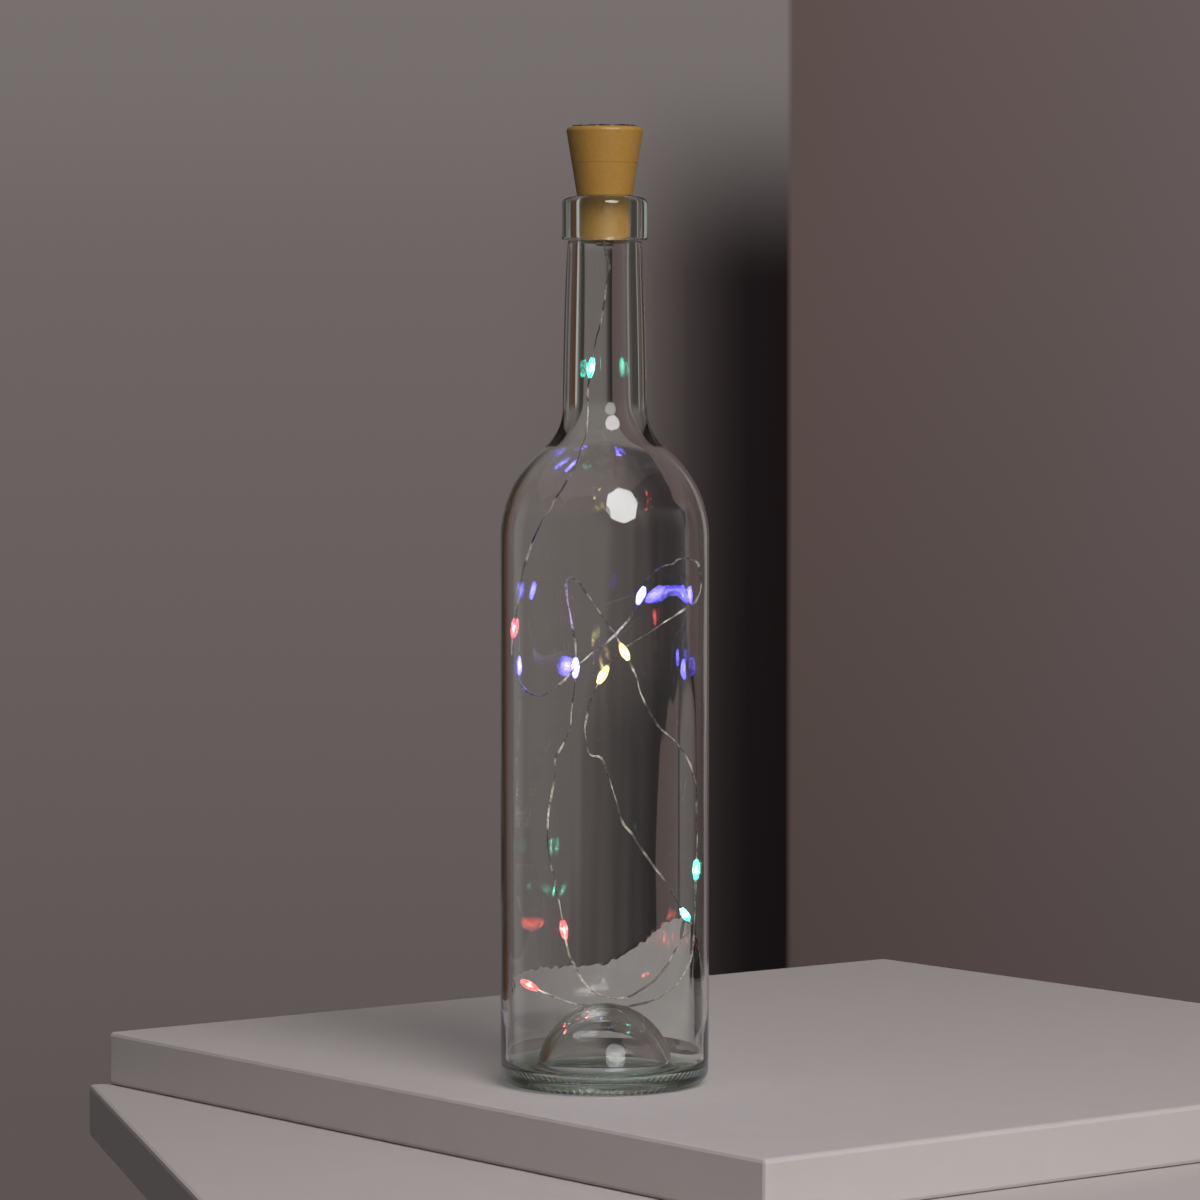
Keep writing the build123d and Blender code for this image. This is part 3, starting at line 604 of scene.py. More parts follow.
# The blown inside is uneven, which moves what is seen through the glass and mirrored in it
# Turns are in degrees; a pair named foot, top or end says where a change starts and how far it runs
insideSizes = {
    "lowest": 0.0045,
    "rise": 0.04,  # how far it reaches above the shoulder's start
    "neckRadius": 0.014,  # narrower than this the inside is plain
    "domeTop": 0.03,  # up to here the dome over the punt stays plain
    "domeGap": 0.003,
    "slack": 0.0001,
    "fade": 0.02,
    "wave": 0.00022,  # how far the wall wanders outwards
    "waveScale": 34.0,
    "waveFlatten": 0.35,
    "waveFoot": 0.02,
    "streak": 0.000012,  # fine upright streaks
    "streakScale": 300.0,
    "streakFlatten": 0.06,
    "swellFoot": (0.005, 0.009),
    # Thicker glass low on the back wall, with a frayed upper edge
    "settleFoot": 0.031,
    "settleRises": [(0.0074, (-95, 40)), (0.0194, (-6, 62))],  # each rise, and the turns where it comes in
    "settleEnd": (66, 29),
    "settleHalf": 95,
    "settleSlope": 0.086,
    "settleLowest": 0.015,
    "settleLeast": 0.0005,
    "settleEdge": 0.002,
    "fray": 0.0022,
    "frayScale": (0.6, 90),
    "frayRise": 0.004,
    "ring": 0.0022,
    "ringTop": (0.015, 0.011),
    "ringEnd": (56, 54),
    # The back wall is thicker towards its right side: how fast it grows, by how far right
    "thicker": [
        (-0.024, 0.0),
        (-0.016, 0.068),
        (-0.008, 0.064),
        (0.0, 0.048),
        (0.008, 0.028),
        (0.016, 0.005),
        (0.022, 0.020),
        (0.027, 0.010),
    ],
    "thickerEnd": (52, 24),
    "thickerLoss": 0.85,  # share of it that is gone higher up
    # Higher up it is thinner there instead
    "thinner": [
        (-0.012, 0.0),
        (-0.002, 0.014),
        (0.005, 0.004),
        (0.010, -0.012),
        (0.016, -0.016),
        (0.020, -0.010),
        (0.024, -0.022),
        (0.0285, -0.042),
        (0.031, 0.0),
    ],
    "thinnerEnd": (60, 24),
    "thinnerFoot": (0.115, 0.05),
    "shoulderGain": 2,
    "shoulderRun": 0.016,
}


def grownBy(rates, x):
    grown = 0.0
    for (fromX, fromRate), (toX, toRate) in zip(rates, rates[1:]):
        if x <= fromX:
            break
        end = min(x, toX)
        endRate = fromRate + (toRate - fromRate) * (end - fromX) / (toX - fromX)
        grown += (fromRate + endRate) / 2 * (end - fromX)
    return grown


def thickerBy(x, y, z):
    # Extra thickness of the back wall's right side, gone again at the very edge
    if y < 0:
        return 0
    inside = insideSizes
    turn = math.degrees(math.atan2(x, y))
    upper = fadeIn(z, inside["thinnerFoot"])
    low = grownBy(inside["thicker"], x) * (1 - inside["thickerLoss"] * upper)
    low *= 1 - fadeIn(turn, inside["thickerEnd"])
    high = grownBy(inside["thinner"], x) * upper * (1 - fadeIn(turn, inside["thinnerEnd"]))
    high *= 1 + inside["shoulderGain"] * fadeIn(z, (bottleSizes["shoulderStart"], inside["shoulderRun"]))
    return low + high


def settleDepth(turn, z):
    # Inward swell low on the back wall; turn is in degrees from straight back, right positive
    inside = insideSizes
    rise = sum(share * fadeIn(turn, span) for share, span in inside["settleRises"])
    rise *= 1 - fadeIn(turn, inside["settleEnd"])
    if abs(turn) > inside["settleHalf"]:
        rise = 0
    height = max(z, inside["settleLowest"])
    acrossScale, upScale = inside["frayScale"]
    fray = inside["fray"] * noise.noise(Vector((turn * acrossScale, z * upScale, 5.5)))
    below = inside["settleFoot"] + rise - height + fray * min(1, rise / inside["frayRise"])
    depth = 0
    if below > 0 and rise > inside["settleLeast"]:
        below = min(below, rise)
        depth = inside["settleSlope"] * below * (2 - below / rise) * smoothStep(below / inside["settleEdge"])
    ring = inside["ring"] * (1 - fadeIn(height, inside["ringTop"]))
    ring *= 1 - fadeIn(abs(turn), inside["ringEnd"])
    return max(depth, ring)


def onInnerWall(radius, z, wall, top):
    inside = insideSizes
    if not inside["lowest"] < z < top:
        return False
    if radius > wall + inside["slack"] or radius < inside["neckRadius"]:
        return False
    return z >= inside["domeTop"] or radius >= wall - inside["domeGap"]


def waveInside(bm):
    # The inner wall wanders a little, away from the string, and is thicker low on its back
    inside = insideSizes
    wall = bottleSizes["bodyRadius"] - bottleSizes["wall"]
    top = bottleSizes["shoulderStart"] + inside["rise"]
    for vertex in bm.verts:
        x, y, z = vertex.co
        radius = math.hypot(x, y)
        if not onInnerWall(radius, z, wall, top):
            continue
        fade = max(0, min(1, (z - inside["waveFoot"]) / inside["fade"], (top - z) / inside["fade"]))
        wander = noise.noise(Vector((x, y, z * inside["waveFlatten"])) * inside["waveScale"])
        streak = noise.noise(Vector((x, y, z * inside["streakFlatten"])) * inside["streakScale"])
        push = fade * (inside["wave"] * (0.5 + 0.5 * wander) + inside["streak"] * streak)
        wide = wall / radius
        swell = settleDepth(math.degrees(math.atan2(x, y)), z) + thickerBy(x * wide, y * wide, z)
        push -= swell * fadeIn(z, inside["swellFoot"]) * smoothStep((top - z) / inside["fade"])
        vertex.co.x *= 1 + push / radius
        vertex.co.y *= 1 + push / radius


def makeBottle():
    bm = bmesh.new()
    bottleOutline(bm)
    bmesh.ops.spin(
        bm,
        geom=bm.verts[:] + bm.edges[:],
        cent=(0, 0, 0),
        axis=(0, 0, 1),
        dvec=(0, 0, 0),
        angle=2 * math.pi,
        steps=bottleSizes["segments"],
        use_merge=True,
    )
    bmesh.ops.remove_doubles(bm, verts=bm.verts, dist=bottleSizes["merge"])
    knurlFoot(bm)
    waveInside(bm)
    bmesh.ops.recalc_face_normals(bm, faces=bm.faces)
    for face in bm.faces:
        face.smooth = True
    bottleGlass = newPiece("bottleGlass", bm)
    print("bottle", len(bottleGlass.data.polygons), "faces")
    return bottleGlass


bottleGlass = makeBottle()
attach(bottleGlass, "bottle")
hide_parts("bottle")

glassTones = {
    "bend": 1.52,
    "tint": (0.69, 0.93, 0.71),
    "density": 18.0,
    "ripple": {"scale": 38, "detail": 1.0, "strength": 0.12, "height": 0.0006},
    "footGreenAndShade": [(0.0045, (0.66, 0.75, 0.66)), (0.0085, (1.0, 1.0, 1.0))],  # the thick foot is tinted greener and darker: the glass's own green with painted shade
    # How much lamplight passes straight on, by height: less at the foot, the shoulder, the neck and the rim
    "lampTint": [
        (0.0, 0.15),
        (0.005, 0.30),
        (0.011, 0.70),
        (0.194, 0.70),
        (0.212, 0.16),
        (0.296, 0.16),
        (0.303, 0.70),
        (0.3150, 0.70),
        (0.3172, 0.02),
    ],
}


def makeBottleFinish():
    top = bottleSizes["height"]
    material, tree, shader, coords = newFinish("clearGlass")
    shader.inputs["Roughness"].default_value = 0.0
    shader.inputs["IOR"].default_value = glassTones["bend"]
    shader.inputs["Transmission Weight"].default_value = 1.0
    ripple = glassTones["ripple"]
    ripples = grain(tree, coords, ripple["scale"], ripple["detail"])
    relief(tree, ripples, shader, ripple["strength"], ripple["height"])
    split = tree.nodes.new("ShaderNodeSeparateXYZ")
    tree.links.new(coords, split.inputs["Vector"])
    rise = spread(tree, split.outputs["Z"], 0, 1, 0, top)
    # Darker green low in the foot: the glass's own green and painted shade
    stops = [(z / top, tone) for z, tone in glassTones["footGreenAndShade"]]
    tree.links.new(tones(tree, rise, stops), shader.inputs["Base Color"])
    stops = [(z / top, (passed, passed, passed)) for z, passed in glassTones["lampTint"]]
    letLampsThrough(tree, shader, tones(tree, rise, stops))
    fill = tree.nodes.new("ShaderNodeVolumeAbsorption")
    fill.inputs["Color"].default_value = (*glassTones["tint"], 1)
    fill.inputs["Density"].default_value = glassTones["density"]
    tree.links.new(fill.outputs["Volume"], tree.nodes["Material Output"].inputs["Volume"])
    bottleGlass.data.materials.append(material)


makeBottleFinish()
print("bottle glass made")


# Lit resin drops and the chips in them
dropTones = {
    "green": {
        "core": (1.6, 2.4, 2.2),
        "glow": (0.015, 0.80, 0.58),
        "edge": (0.002, 0.05, 0.035),
        "resin": (0.74, 0.92, 0.86),
    },
    "red": {
        "core": (1.5, 0.62, 0.50),
        "glow": (0.95, 0.055, 0.060),
        "edge": (0.06, 0.004, 0.004),
        "resin": (0.95, 0.74, 0.72),
    },
    "blue": {
        "core": (2.2, 2.1, 3.0),
        "glow": (0.50, 0.45, 2.2),
        "edge": (0.05, 0.04, 0.62),
        "resin": (0.60, 0.60, 0.95),
    },
    "yellow": {
        "core": (1.3, 1.2, 0.75),
        "glow": (0.85, 0.72, 0.28),
        "edge": (0.26, 0.20, 0.06),
        "resin": (0.88, 0.80, 0.50),
    },
}
dropSizes = {
    "halfWide": 0.00115,  # of the lit middle
    "halfLong": 0.0035,
    "leastShare": 0.5,  # of its length that still shows where a drop points to the front
    "rings": (0.14, 0.40, 0.82),  # where its core, glow and edge lie on the way out
    "ragged": {"scale": 900, "to": (-0.22, 0.22)},
    "speckle": {"scale": 1300, "from": (0.40, 0.62), "to": (0.25, 1.9)},
    "resin": {"scale": 700, "stops": (0.35, 0.65), "roughness": 0.12, "clear": 0.92},
    "bumps": {"scale": 420, "strength": 0.5, "height": 0.0003},
    "chip": {"scale": 1500, "stops": (0.3, 0.7), "roughness": 0.3},
    "chipLight": {"green": 0.9, "red": 0.9, "blue": 0.8, "yellow": 0.8},
    # How much more of a drop's light falls on what is near, and shows mirrored in the glass
    "spill": {"green": (14.0, 2.8), "red": (4.0, 3.2), "blue": (60.0, 7.0), "yellow": (4.0, 2.0)},
}


def along(tree, place, way, half):
    # Share of the way from a drop's middle to its edge
    step = tree.nodes.new("ShaderNodeVectorMath")
    step.operation = "DOT_PRODUCT"
    tree.links.new(place, step.inputs[0])
    step.inputs[1].default_value = tuple(way / half)
    return step.outputs["Value"]


def wayOut(tree, coords, centre, heading):
    # Distance from a drop's middle, as a share of its long shape seen from the front
    offset = tree.nodes.new("ShaderNodeVectorMath")
    offset.operation = "SUBTRACT"
    tree.links.new(coords, offset.inputs[0])
    offset.inputs[1].default_value = centre
    place = offset.outputs["Vector"]
    flat = Vector((heading[0], 0, heading[2]))
    share = max(dropSizes["leastShare"], flat.length)
    flat.normalize()
    side = Vector((flat.z, 0, -flat.x))
    joined = tree.nodes.new("ShaderNodeCombineXYZ")
    tree.links.new(along(tree, place, flat, dropSizes["halfLong"] * share), joined.inputs["X"])
    tree.links.new(along(tree, place, side, dropSizes["halfWide"]), joined.inputs["Y"])
    away = tree.nodes.new("ShaderNodeVectorMath")
    away.operation = "LENGTH"
    tree.links.new(joined.outputs["Vector"], away.inputs[0])
    return away.outputs["Value"]


def dropPower(tree, coords, colour):
    # Speckled, and stronger on what is near and in the glass's mirror images
    speckle = dropSizes["speckle"]
    speckles = spread(tree, grain(tree, coords, speckle["scale"]), *speckle["to"], *speckle["from"])
    rays = tree.nodes.new("ShaderNodeLightPath")
    onNear, mirrored = dropSizes["spill"][colour]
    seen = combine(tree, "MAXIMUM", rays.outputs["Is Camera Ray"], rays.outputs["Is Transmission Ray"])
    straight = spread(tree, seen, onNear, 1, 0, 1)
    inGlass = spread(tree, rays.outputs["Glossy Depth"], 1, mirrored, 0, 1)
    return combine(tree, "MULTIPLY", speckles, combine(tree, "MULTIPLY", straight, inGlass))


def dropFinish(name, colour, centre, heading):
    material, tree, shader, coords = newFinish(name)
    tone = dropTones[colour]
    ragged = dropSizes["ragged"]
    shift = spread(tree, grain(tree, coords, ragged["scale"]), *ragged["to"])
    place = combine(tree, "ADD", wayOut(tree, coords, centre, heading), shift)
    stops = list(zip(dropSizes["rings"], (tone["core"], tone["glow"], tone["edge"])))
    tree.links.new(tones(tree, place, stops), shader.inputs["Emission Color"])
    tree.links.new(dropPower(tree, coords, colour), shader.inputs["Emission Strength"])
    resin = dropSizes["resin"]
    pale = tuple(0.5 + 0.5 * part for part in tone["resin"])  # half way to white
    stops = list(zip(resin["stops"], (tone["resin"], pale)))
    tree.links.new(tones(tree, grain(tree, coords, resin["scale"]), stops), shader.inputs["Base Color"])
    shader.inputs["Roughness"].default_value = resin["roughness"]
    shader.inputs["Transmission Weight"].default_value = resin["clear"]
    bumps = dropSizes["bumps"]
    relief(tree, grain(tree, coords, bumps["scale"]), shader, bumps["strength"], bumps["height"])
    return material


def chipFinish(colour):
    material, tree, shader, coords = newFinish(f"chip_{colour}")
    tone = dropTones[colour]
    chip = dropSizes["chip"]
    stops = list(zip(chip["stops"], (tone["glow"], tone["core"])))
    tree.links.new(tones(tree, grain(tree, coords, chip["scale"]), stops), shader.inputs["Emission Color"])
    shader.inputs["Emission Strength"].default_value = dropSizes["chipLight"][colour]
    shader.inputs["Roughness"].default_value = chip["roughness"]
    return material


for number, (colour, centre, heading) in enumerate(lights, 1):
    beadName = f"bead_{number:02d}_{colour}"
    dress(beadName, dropFinish(f"drop_{number:02d}", colour, centre, heading))
for colour in dropTones:
    dress(f"chips_{colour}", chipFinish(colour))
print("lights lit")


# Stopper shells
corkTones = {
    "stops": [(0.30, (0.320, 0.164, 0.030)), (0.70, (0.360, 0.188, 0.037))],
    "scale": 900,
    "detail": 4.0,
    "gloss": (0.38, 0.50),
    "glossScale": 160,
    "bumps": {"scale": 1500, "strength": 0.25, "height": 0.00003},
}


def corkFinish():
    material, tree, shader, coords = newFinish("corkPlastic")
    fine = grain(tree, coords, corkTones["scale"], corkTones["detail"])
    tree.links.new(tones(tree, fine, corkTones["stops"]), shader.inputs["Base Color"])
    gloss = grain(tree, coords, corkTones["glossScale"])
    tree.links.new(spread(tree, gloss, *corkTones["gloss"]), shader.inputs["Roughness"])
    bumps = corkTones["bumps"]
    relief(tree, grain(tree, coords, bumps["scale"]), shader, bumps["strength"], bumps["height"])
    return material


# Solar panel
panelTones = {
    "fingerScale": 260,
    "stops": [(0.0, (0.006, 0.009, 0.028)), (0.93, (0.012, 0.016, 0.042)), (0.985, (0.30, 0.30, 0.33))],
    "gloss": (0.18, 0.32),
    "glossScale": 500,
    "bumps": {"strength": 0.1, "height": 0.00002},
}


def panelFinish():
    # Dark cells with fine silver fingers across them
    material, tree, shader, coords = newFinish("panelDark")
    fingers = tree.nodes.new("ShaderNodeTexWave")
    fingers.wave_type = "BANDS"
    fingers.bands_direction = "Y"
    fingers.inputs["Scale"].default_value = panelTones["fingerScale"]
    tree.links.new(coords, fingers.inputs["Vector"])
    tree.links.new(tones(tree, fingers.outputs["Fac"], panelTones["stops"]), shader.inputs["Base Color"])
    gloss = grain(tree, coords, panelTones["glossScale"])
    tree.links.new(spread(tree, gloss, *panelTones["gloss"]), shader.inputs["Roughness"])
    bumps = panelTones["bumps"]
    relief(tree, fingers.outputs["Fac"], shader, bumps["strength"], bumps["height"])
    return material


# Resin over the panel, and the gland that the string leaves by
clearTones = {
    "panel_resin": {"name": "panelResin", "bend": 1.5, "tint": (0.30, 0.31, 0.35), "gloss": (0.02, 0.06)},
    "wire_gland": {"name": "glandClear", "bend": 1.46, "tint": (0.90, 0.88, 0.84), "gloss": (0.10, 0.22)},
}
clearGrain = {
    "scale": 240,
    "stops": (0.3, 0.7),
    "bumps": {"scale": 300, "strength": 0.1, "height": 0.00005},
    "lampTint": (0.92, 0.92, 0.92),
}


def clearFinish(name, bend, tint, gloss):
    material, tree, shader, coords = newFinish(name)
    amount = grain(tree, coords, clearGrain["scale"])
    stops = list(zip(clearGrain["stops"], (tint, (1, 1, 1))))
    tree.links.new(tones(tree, amount, stops), shader.inputs["Base Color"])
    shader.inputs["IOR"].default_value = bend
    shader.inputs["Transmission Weight"].default_value = 1.0
    tree.links.new(spread(tree, amount, *gloss), shader.inputs["Roughness"])
    bumps = clearGrain["bumps"]
    relief(tree, grain(tree, coords, bumps["scale"]), shader, bumps["strength"], bumps["height"])
    letLampsThrough(tree, shader, clearGrain["lampTint"])
    return material


# What the stopper holds: finishes with two tones in their grain, and the nodes that have them
heldTones = {
    "boardGreen": {
        "nodes": ["circuit_board"],
        "tones": [(0.008, 0.085, 0.03), (0.02, 0.15, 0.06)],
        "scale": 420,
        "gloss": (0.3, 0.45),
        "height": 0.00002,
    },
    "chipBlack": {
        "nodes": ["driver_chip"],
        "tones": [(0.008, 0.008, 0.009), (0.025, 0.025, 0.027)],
        "scale": 900,
        "gloss": (0.4, 0.6),
        "height": 0.00002,
    },
    "ferriteGrey": {
        "nodes": ["inductor"],
        "tones": [(0.03, 0.03, 0.032), (0.08, 0.08, 0.085)],
        "scale": 700,
        "gloss": (0.5, 0.7),
        "height": 0.00003,
    },
    "cellSteel": {
        "nodes": ["battery_cell"],
        "tones": [(0.50, 0.50, 0.50), (0.72, 0.72, 0.70)],
        "scale": 300,
        "gloss": (0.2, 0.35),
        "height": 0.00001,
        "metal": 1.0,
    },
    "cellWrap": {
        "nodes": ["battery_sleeve"],
        "tones": [(0.04, 0.14, 0.07), (0.07, 0.22, 0.11)],
        "scale": 350,
        "gloss": (0.25, 0.4),
        "height": 0.00001,
    },
    "contactNickel": {
        "nodes": ["battery_tab_top", "battery_tab_bottom", "switch_housing"],
        "tones": [(0.52, 0.50, 0.46), (0.74, 0.72, 0.67)],
        "scale": 500,
        "gloss": (0.22, 0.4),
        "height": 0.00001,
        "metal": 1.0,
    },
    "knobBlack": {
        "nodes": ["switch_knob"],
        "tones": [(0.010, 0.010, 0.011), (0.030, 0.030, 0.032)],
        "scale": 1100,
        "gloss": (0.35, 0.55),
        "height": 0.00002,
    },
    "leadRed": {
        "nodes": ["panel_leads"],
        "tones": [(0.30, 0.012, 0.010), (0.46, 0.026, 0.020)],
        "scale": 600,
        "gloss": (0.3, 0.5),
        "height": 0.00002,
    },
    "leadBlack": {
        "nodes": ["switch_leads"],
        "tones": [(0.010, 0.010, 0.010), (0.03, 0.03, 0.03)],
        "scale": 600,
        "gloss": (0.3, 0.5),
        "height": 0.00002,
    },
}
heldGrain = {"stops": (0.32, 0.68), "bumpScale": 2.3, "bumpStrength": 0.35}


def grainedFinish(name, finish):
    material, tree, shader, coords = newFinish(name)
    amount = grain(tree, coords, finish["scale"])
    stops = list(zip(heldGrain["stops"], finish["tones"]))
    tree.links.new(tones(tree, amount, stops), shader.inputs["Base Color"])
    tree.links.new(spread(tree, amount, *finish["gloss"]), shader.inputs["Roughness"])
    shader.inputs["Metallic"].default_value = finish.get("metal", 0.0)
    bumps = grain(tree, coords, finish["scale"] * heldGrain["bumpScale"])
    relief(tree, bumps, shader, heldGrain["bumpStrength"], finish["height"])
    return material


def dressStopper():
    cork = corkFinish()
    dress("stopper_body", cork)
    dress("head_cap", cork)
    dress("solar_panel", panelFinish())
    for node, clear in clearTones.items():
        dress(node, clearFinish(**clear))
    for name, finish in heldTones.items():
        material = grainedFinish(name, finish)
        for node in finish["nodes"]:
            dress(node, material)
    dress("string_lead", lightString.data.materials[0])


dressStopper()
print("stopper dressed")


# Stage: pale slabs, a soft grey surround and one large eight-sided soft light
stageSizes = {
    "slab": 0.400,
    "thick": 0.0205,
    "round": 0.0015,
    "slabs": {
        "slabTop": {"centre": (0.0875, 0.1055), "turn": 37.8, "top": -0.0002},
        "slabUnder": {"centre": (0.040, -0.006), "turn": 13.4, "top": -0.0208},
    },
    "pale": (0.47, 0.42, 0.41),
    "paleShare": 0.97,  # of that tone, in the darker grain
    "paleGrain": {"scale": 60, "detail": 5.0, "stops": (0.3, 0.7)},
    "paleRoughness": 0.75,
    "softCentre": (0.006, -0.035, 0.208),
    "softWay": (0.314, -0.764, 0.557),
    "softAway": 2.0,
    "softWidth": 1.30,
    "softSides": 8,
    "softLight": 12.0,
    "softShine": 10.0,
    "softThrough": 0.50,  # share of it seen bent through glass
    "fill": 0.13,
}


def slabFinish():
    material, tree, shader, coords = newFinish("slabPale")
    paleGrain = stageSizes["paleGrain"]
    amount = grain(tree, coords, paleGrain["scale"], paleGrain["detail"])
    pale = stageSizes["pale"]
    darker = tuple(stageSizes["paleShare"] * part for part in pale)
    stops = list(zip(paleGrain["stops"], (darker, pale)))
    tree.links.new(tones(tree, amount, stops), shader.inputs["Base Color"])
    shader.inputs["Roughness"].default_value = stageSizes["paleRoughness"]
    return material


def makeSlab(name, centre, turn, top, material):
    bm = bmesh.new()
    bmesh.ops.create_cube(bm, size=1)
    size = stageSizes["slab"]
    bmesh.ops.scale(bm, vec=(size, size, stageSizes["thick"]), verts=bm.verts)
    bmesh.ops.bevel(
        bm,
        geom=bm.edges[:],
        offset=stageSizes["round"],
        segments=2,
        profile=0.5,
        affect="EDGES",
        material=-1,
    )
    facing = Matrix.Rotation(math.radians(turn), 3, "Z")
    bmesh.ops.rotate(bm, cent=(0, 0, 0), matrix=facing, verts=bm.verts)
    bmesh.ops.translate(bm, vec=(*centre, top - stageSizes["thick"] / 2), verts=bm.verts)
    slab = newPiece(name, bm)
    slab.data.materials.append(material)


def glowFinish(name):
    material = bpy.data.materials.new(name)
    material.use_nodes = True
    tree = material.node_tree
    tree.nodes.clear()
    output = tree.nodes.new("ShaderNodeOutputMaterial")
    glow = tree.nodes.new("ShaderNodeEmission")
    tree.links.new(glow.outputs["Emission"], output.inputs["Surface"])
    return material, tree, glow


def makeSoftLight():
    stage = stageSizes
    bm = bmesh.new()
    bmesh.ops.create_circle(bm, cap_ends=True, segments=stage["softSides"], radius=stage["softWidth"] / 2)
    way = Vector(stage["softWay"]).normalized()
    facing = way.to_track_quat("Z", "Y").to_matrix()
    bmesh.ops.rotate(bm, cent=(0, 0, 0), matrix=facing, verts=bm.verts)
    bmesh.ops.translate(bm, vec=Vector(stage["softCentre"]) + way * stage["softAway"], verts=bm.verts)
    material, tree, glow = glowFinish("softLight")
    rays = tree.nodes.new("ShaderNodeLightPath")
    mirrored = spread(tree, rays.outputs["Is Glossy Ray"], stage["softLight"], stage["softShine"], 0, 1)
    bent = spread(tree, rays.outputs["Is Transmission Ray"], 1, stage["softThrough"], 0, 1)
    tree.links.new(combine(tree, "MULTIPLY", mirrored, bent), glow.inputs["Strength"])
    softLight = newPiece("softLight", bm)
    softLight.data.materials.append(material)
    softLight.visible_camera = False


# Backdrop: a glowing sheet in place of a lit wall, with a painted shadow behind the bottle's right side and
# painted light that grows paler upwards
backdropSizes = {
    "away": 2.0,
    "half": 0.62,
    "low": -1.2,
    "high": 2.6,
    # Painted shadow of a panel at the right, cast across the sheet
    "shade": [
        (-0.0765, (0.153, 0.130, 0.125)),
        (0.0153, (0.141, 0.119, 0.114)),
        (0.0421, (0.084, 0.069, 0.065)),
        (0.0689, (0.041, 0.033, 0.033)),
        (0.0918, (0.022, 0.017, 0.017)),
        (0.1109, (0.0116, 0.0086, 0.0091)),
        (0.1423, (0.0103, 0.0070, 0.0075)),
        (0.1435, (0.098, 0.070, 0.065)),
        (0.459, (0.122, 0.093, 0.093)),
    ],
    # The sheet's tones without the painted shadow, shown higher up
    "plain": [
        (0.1423, (0.165, 0.146, 0.140)),
        (0.1435, (0.098, 0.070, 0.065)),
        (0.459, (0.122, 0.093, 0.093)),
    ],
    # Heights where the painted shadow gives way, and painted light that is paler upwards
    "shadeTop": (0.325, 0.505),
    "gain": (0.705, 1.137),
    "gainHeights": (-0.30, 0.60),
}


def mixTones(tree, amount, first, second):
    mix = tree.nodes.new("ShaderNodeMix")
    mix.data_type = "RGBA"
    tree.links.new(amount, mix.inputs["Factor"])
    for socket in mix.inputs:
        if socket.type == "RGBA" and socket.name == "A":
            joinTone(tree, first, socket)
        if socket.type == "RGBA" and socket.name == "B":
            joinTone(tree, second, socket)
    return [socket for socket in mix.outputs if socket.type == "RGBA"][0]


def makeBackdrop():
    sheet = backdropSizes
    half = sheet["half"]
    bm = bmesh.new()
    bmesh.ops.create_grid(bm, x_segments=1, y_segments=1, size=1)
    bmesh.ops.scale(bm, vec=(half, (sheet["high"] - sheet["low"]) / 2, 1), verts=bm.verts)
    bmesh.ops.rotate(bm, cent=(0, 0, 0), matrix=Matrix.Rotation(math.pi / 2, 3, "X"), verts=bm.verts)
    bmesh.ops.translate(bm, vec=(0, sheet["away"], (sheet["high"] + sheet["low"]) / 2), verts=bm.verts)
    material, tree, glow = glowFinish("backdropGrey")
    coords = tree.nodes.new("ShaderNodeTexCoord")
    split = tree.nodes.new("ShaderNodeSeparateXYZ")
    tree.links.new(coords.outputs["Object"], split.inputs["Vector"])
    across = spread(tree, split.outputs["X"], 0, 1, -half, half)
    shade = tones(tree, across, [((x + half) / (2 * half), tone) for x, tone in sheet["shade"]])
    plain = tones(tree, across, [((x + half) / (2 * half), tone) for x, tone in sheet["plain"]])
    # the painted shadow fades out upwards
    lift = spread(tree, split.outputs["Z"], 0, 1, *sheet["shadeTop"], "SMOOTHSTEP")
    tree.links.new(mixTones(tree, lift, shade, plain), glow.inputs["Color"])
    # painted light: the sheet glows paler upwards
    gain = spread(tree, split.outputs["Z"], *sheet["gain"], *sheet["gainHeights"])
    tree.links.new(gain, glow.inputs["Strength"])
    backdrop = newPiece("backdrop", bm)
    backdrop.data.materials.append(material)
    backdrop.visible_diffuse = False


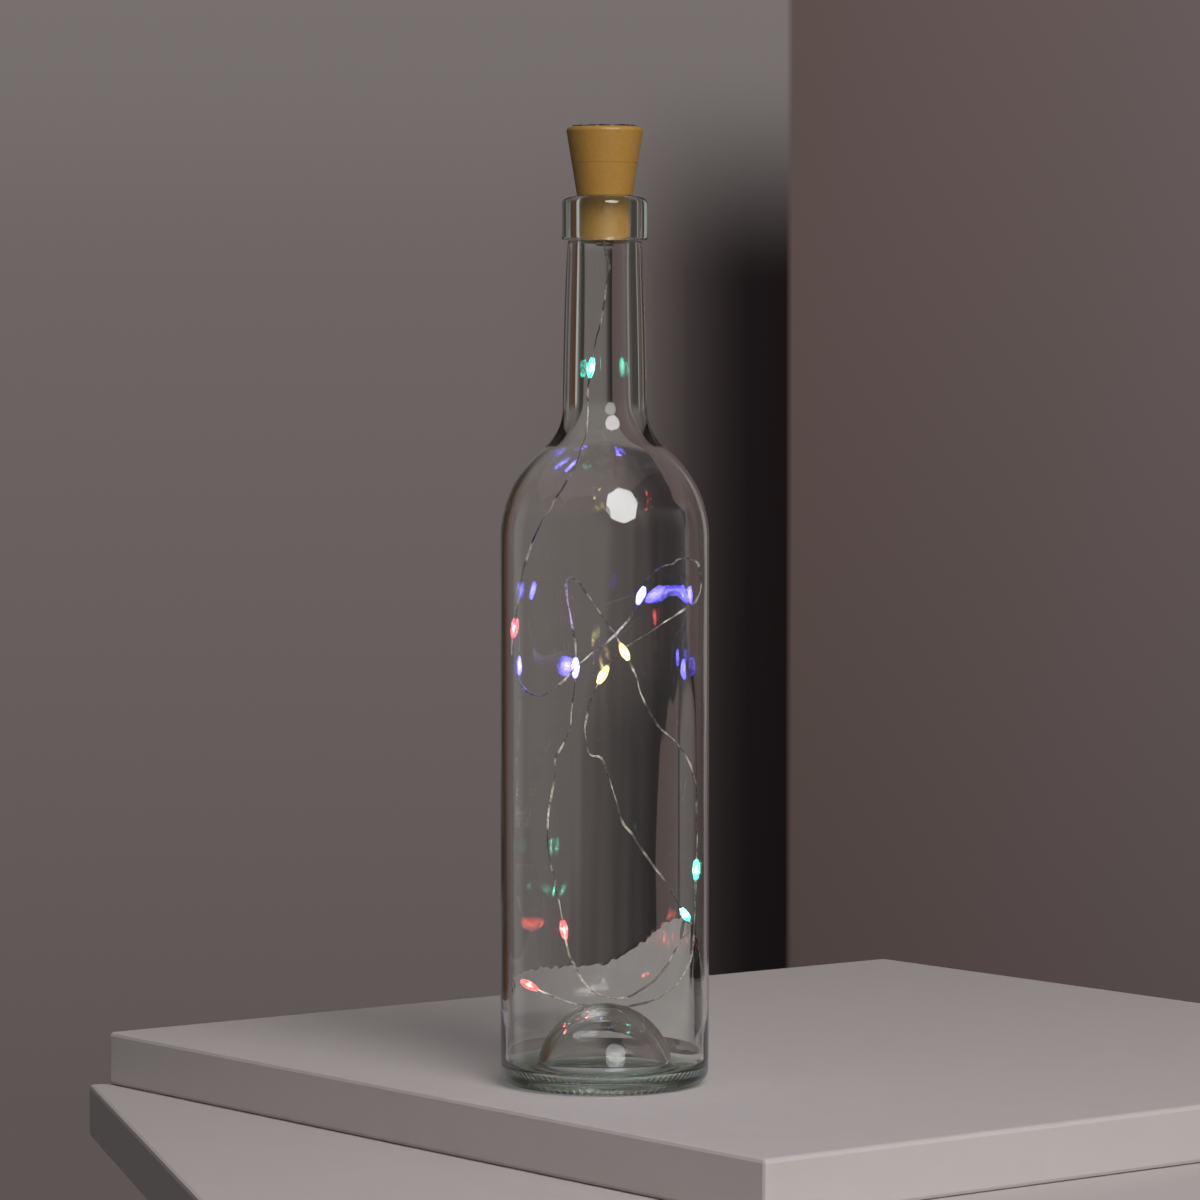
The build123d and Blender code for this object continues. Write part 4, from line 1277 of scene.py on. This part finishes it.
# What the glass bends and mirrors from beside the backdrop: radians right of straight ahead
surroundTones = {
    "plain": (0.14, 0.12, 0.115),
    "upward": (0.14, 0.12, 0.115),
    "steep": (0.22, 0.45),  # rise at which the side tones fade to the upward one
    "sides": [
        (-3.1, (0.13, 0.125, 0.12)),
        (-2.0, (0.10, 0.095, 0.092)),
        (-1.4, (0.12, 0.11, 0.105)),
        (-1.25, (0.38, 0.39, 0.40)),
        (-1.03, (0.38, 0.39, 0.40)),
        (-0.98, (0.080, 0.034, 0.018)),
        (-0.52, (0.080, 0.034, 0.018)),
        (-0.48, (0.022, 0.027, 0.019)),
        (-0.32, (0.022, 0.027, 0.019)),
        (-0.30, (0.13, 0.11, 0.105)),
        (0.30, (0.105, 0.082, 0.080)),
        (0.40, (0.105, 0.082, 0.080)),
        (0.44, (0.27, 0.24, 0.23)),
        (0.52, (0.27, 0.24, 0.23)),
        (0.58, (0.045, 0.038, 0.035)),
        (1.15, (0.045, 0.038, 0.035)),
        (1.3, (0.16, 0.145, 0.14)),
        (1.6, (0.20, 0.18, 0.18)),
        (2.2, (0.10, 0.095, 0.092)),
        (3.1, (0.13, 0.125, 0.12)),
    ],
}


def makeSurround():
    world = bpy.data.worlds.new("greySurround")
    scene.world = world
    world.use_nodes = True
    tree = world.node_tree
    background = tree.nodes["Background"]
    coords = tree.nodes.new("ShaderNodeTexCoord")
    split = tree.nodes.new("ShaderNodeSeparateXYZ")
    tree.links.new(coords.outputs["Generated"], split.inputs["Vector"])
    heading = combine(tree, "ARCTAN2", split.outputs["X"], split.outputs["Y"])
    place = spread(tree, heading, 0, 1, -math.pi, math.pi)
    stops = [((angle + math.pi) / (2 * math.pi), colour) for angle, colour in surroundTones["sides"]]
    sides = tones(tree, place, stops)
    height = tree.nodes.new("ShaderNodeMath")
    height.operation = "ABSOLUTE"
    tree.links.new(split.outputs["Z"], height.inputs[0])
    steep = spread(tree, height.outputs["Value"], 0, 1, *surroundTones["steep"])
    sides = mixTones(tree, steep, sides, surroundTones["upward"])
    rays = tree.nodes.new("ShaderNodeLightPath")
    bent = combine(tree, "MAXIMUM", rays.outputs["Is Glossy Ray"], rays.outputs["Is Transmission Ray"])
    fill = stageSizes["fill"]
    unlit = mixTones(tree, bent, (fill, fill, fill), sides)
    shown = mixTones(tree, rays.outputs["Is Camera Ray"], unlit, surroundTones["plain"])
    tree.links.new(shown, background.inputs["Color"])


palePaint = slabFinish()
for slabName, slabPlace in stageSizes["slabs"].items():
    makeSlab(slabName, **slabPlace, material=palePaint)
makeSoftLight()
makeBackdrop()
makeSurround()
print("stage set")
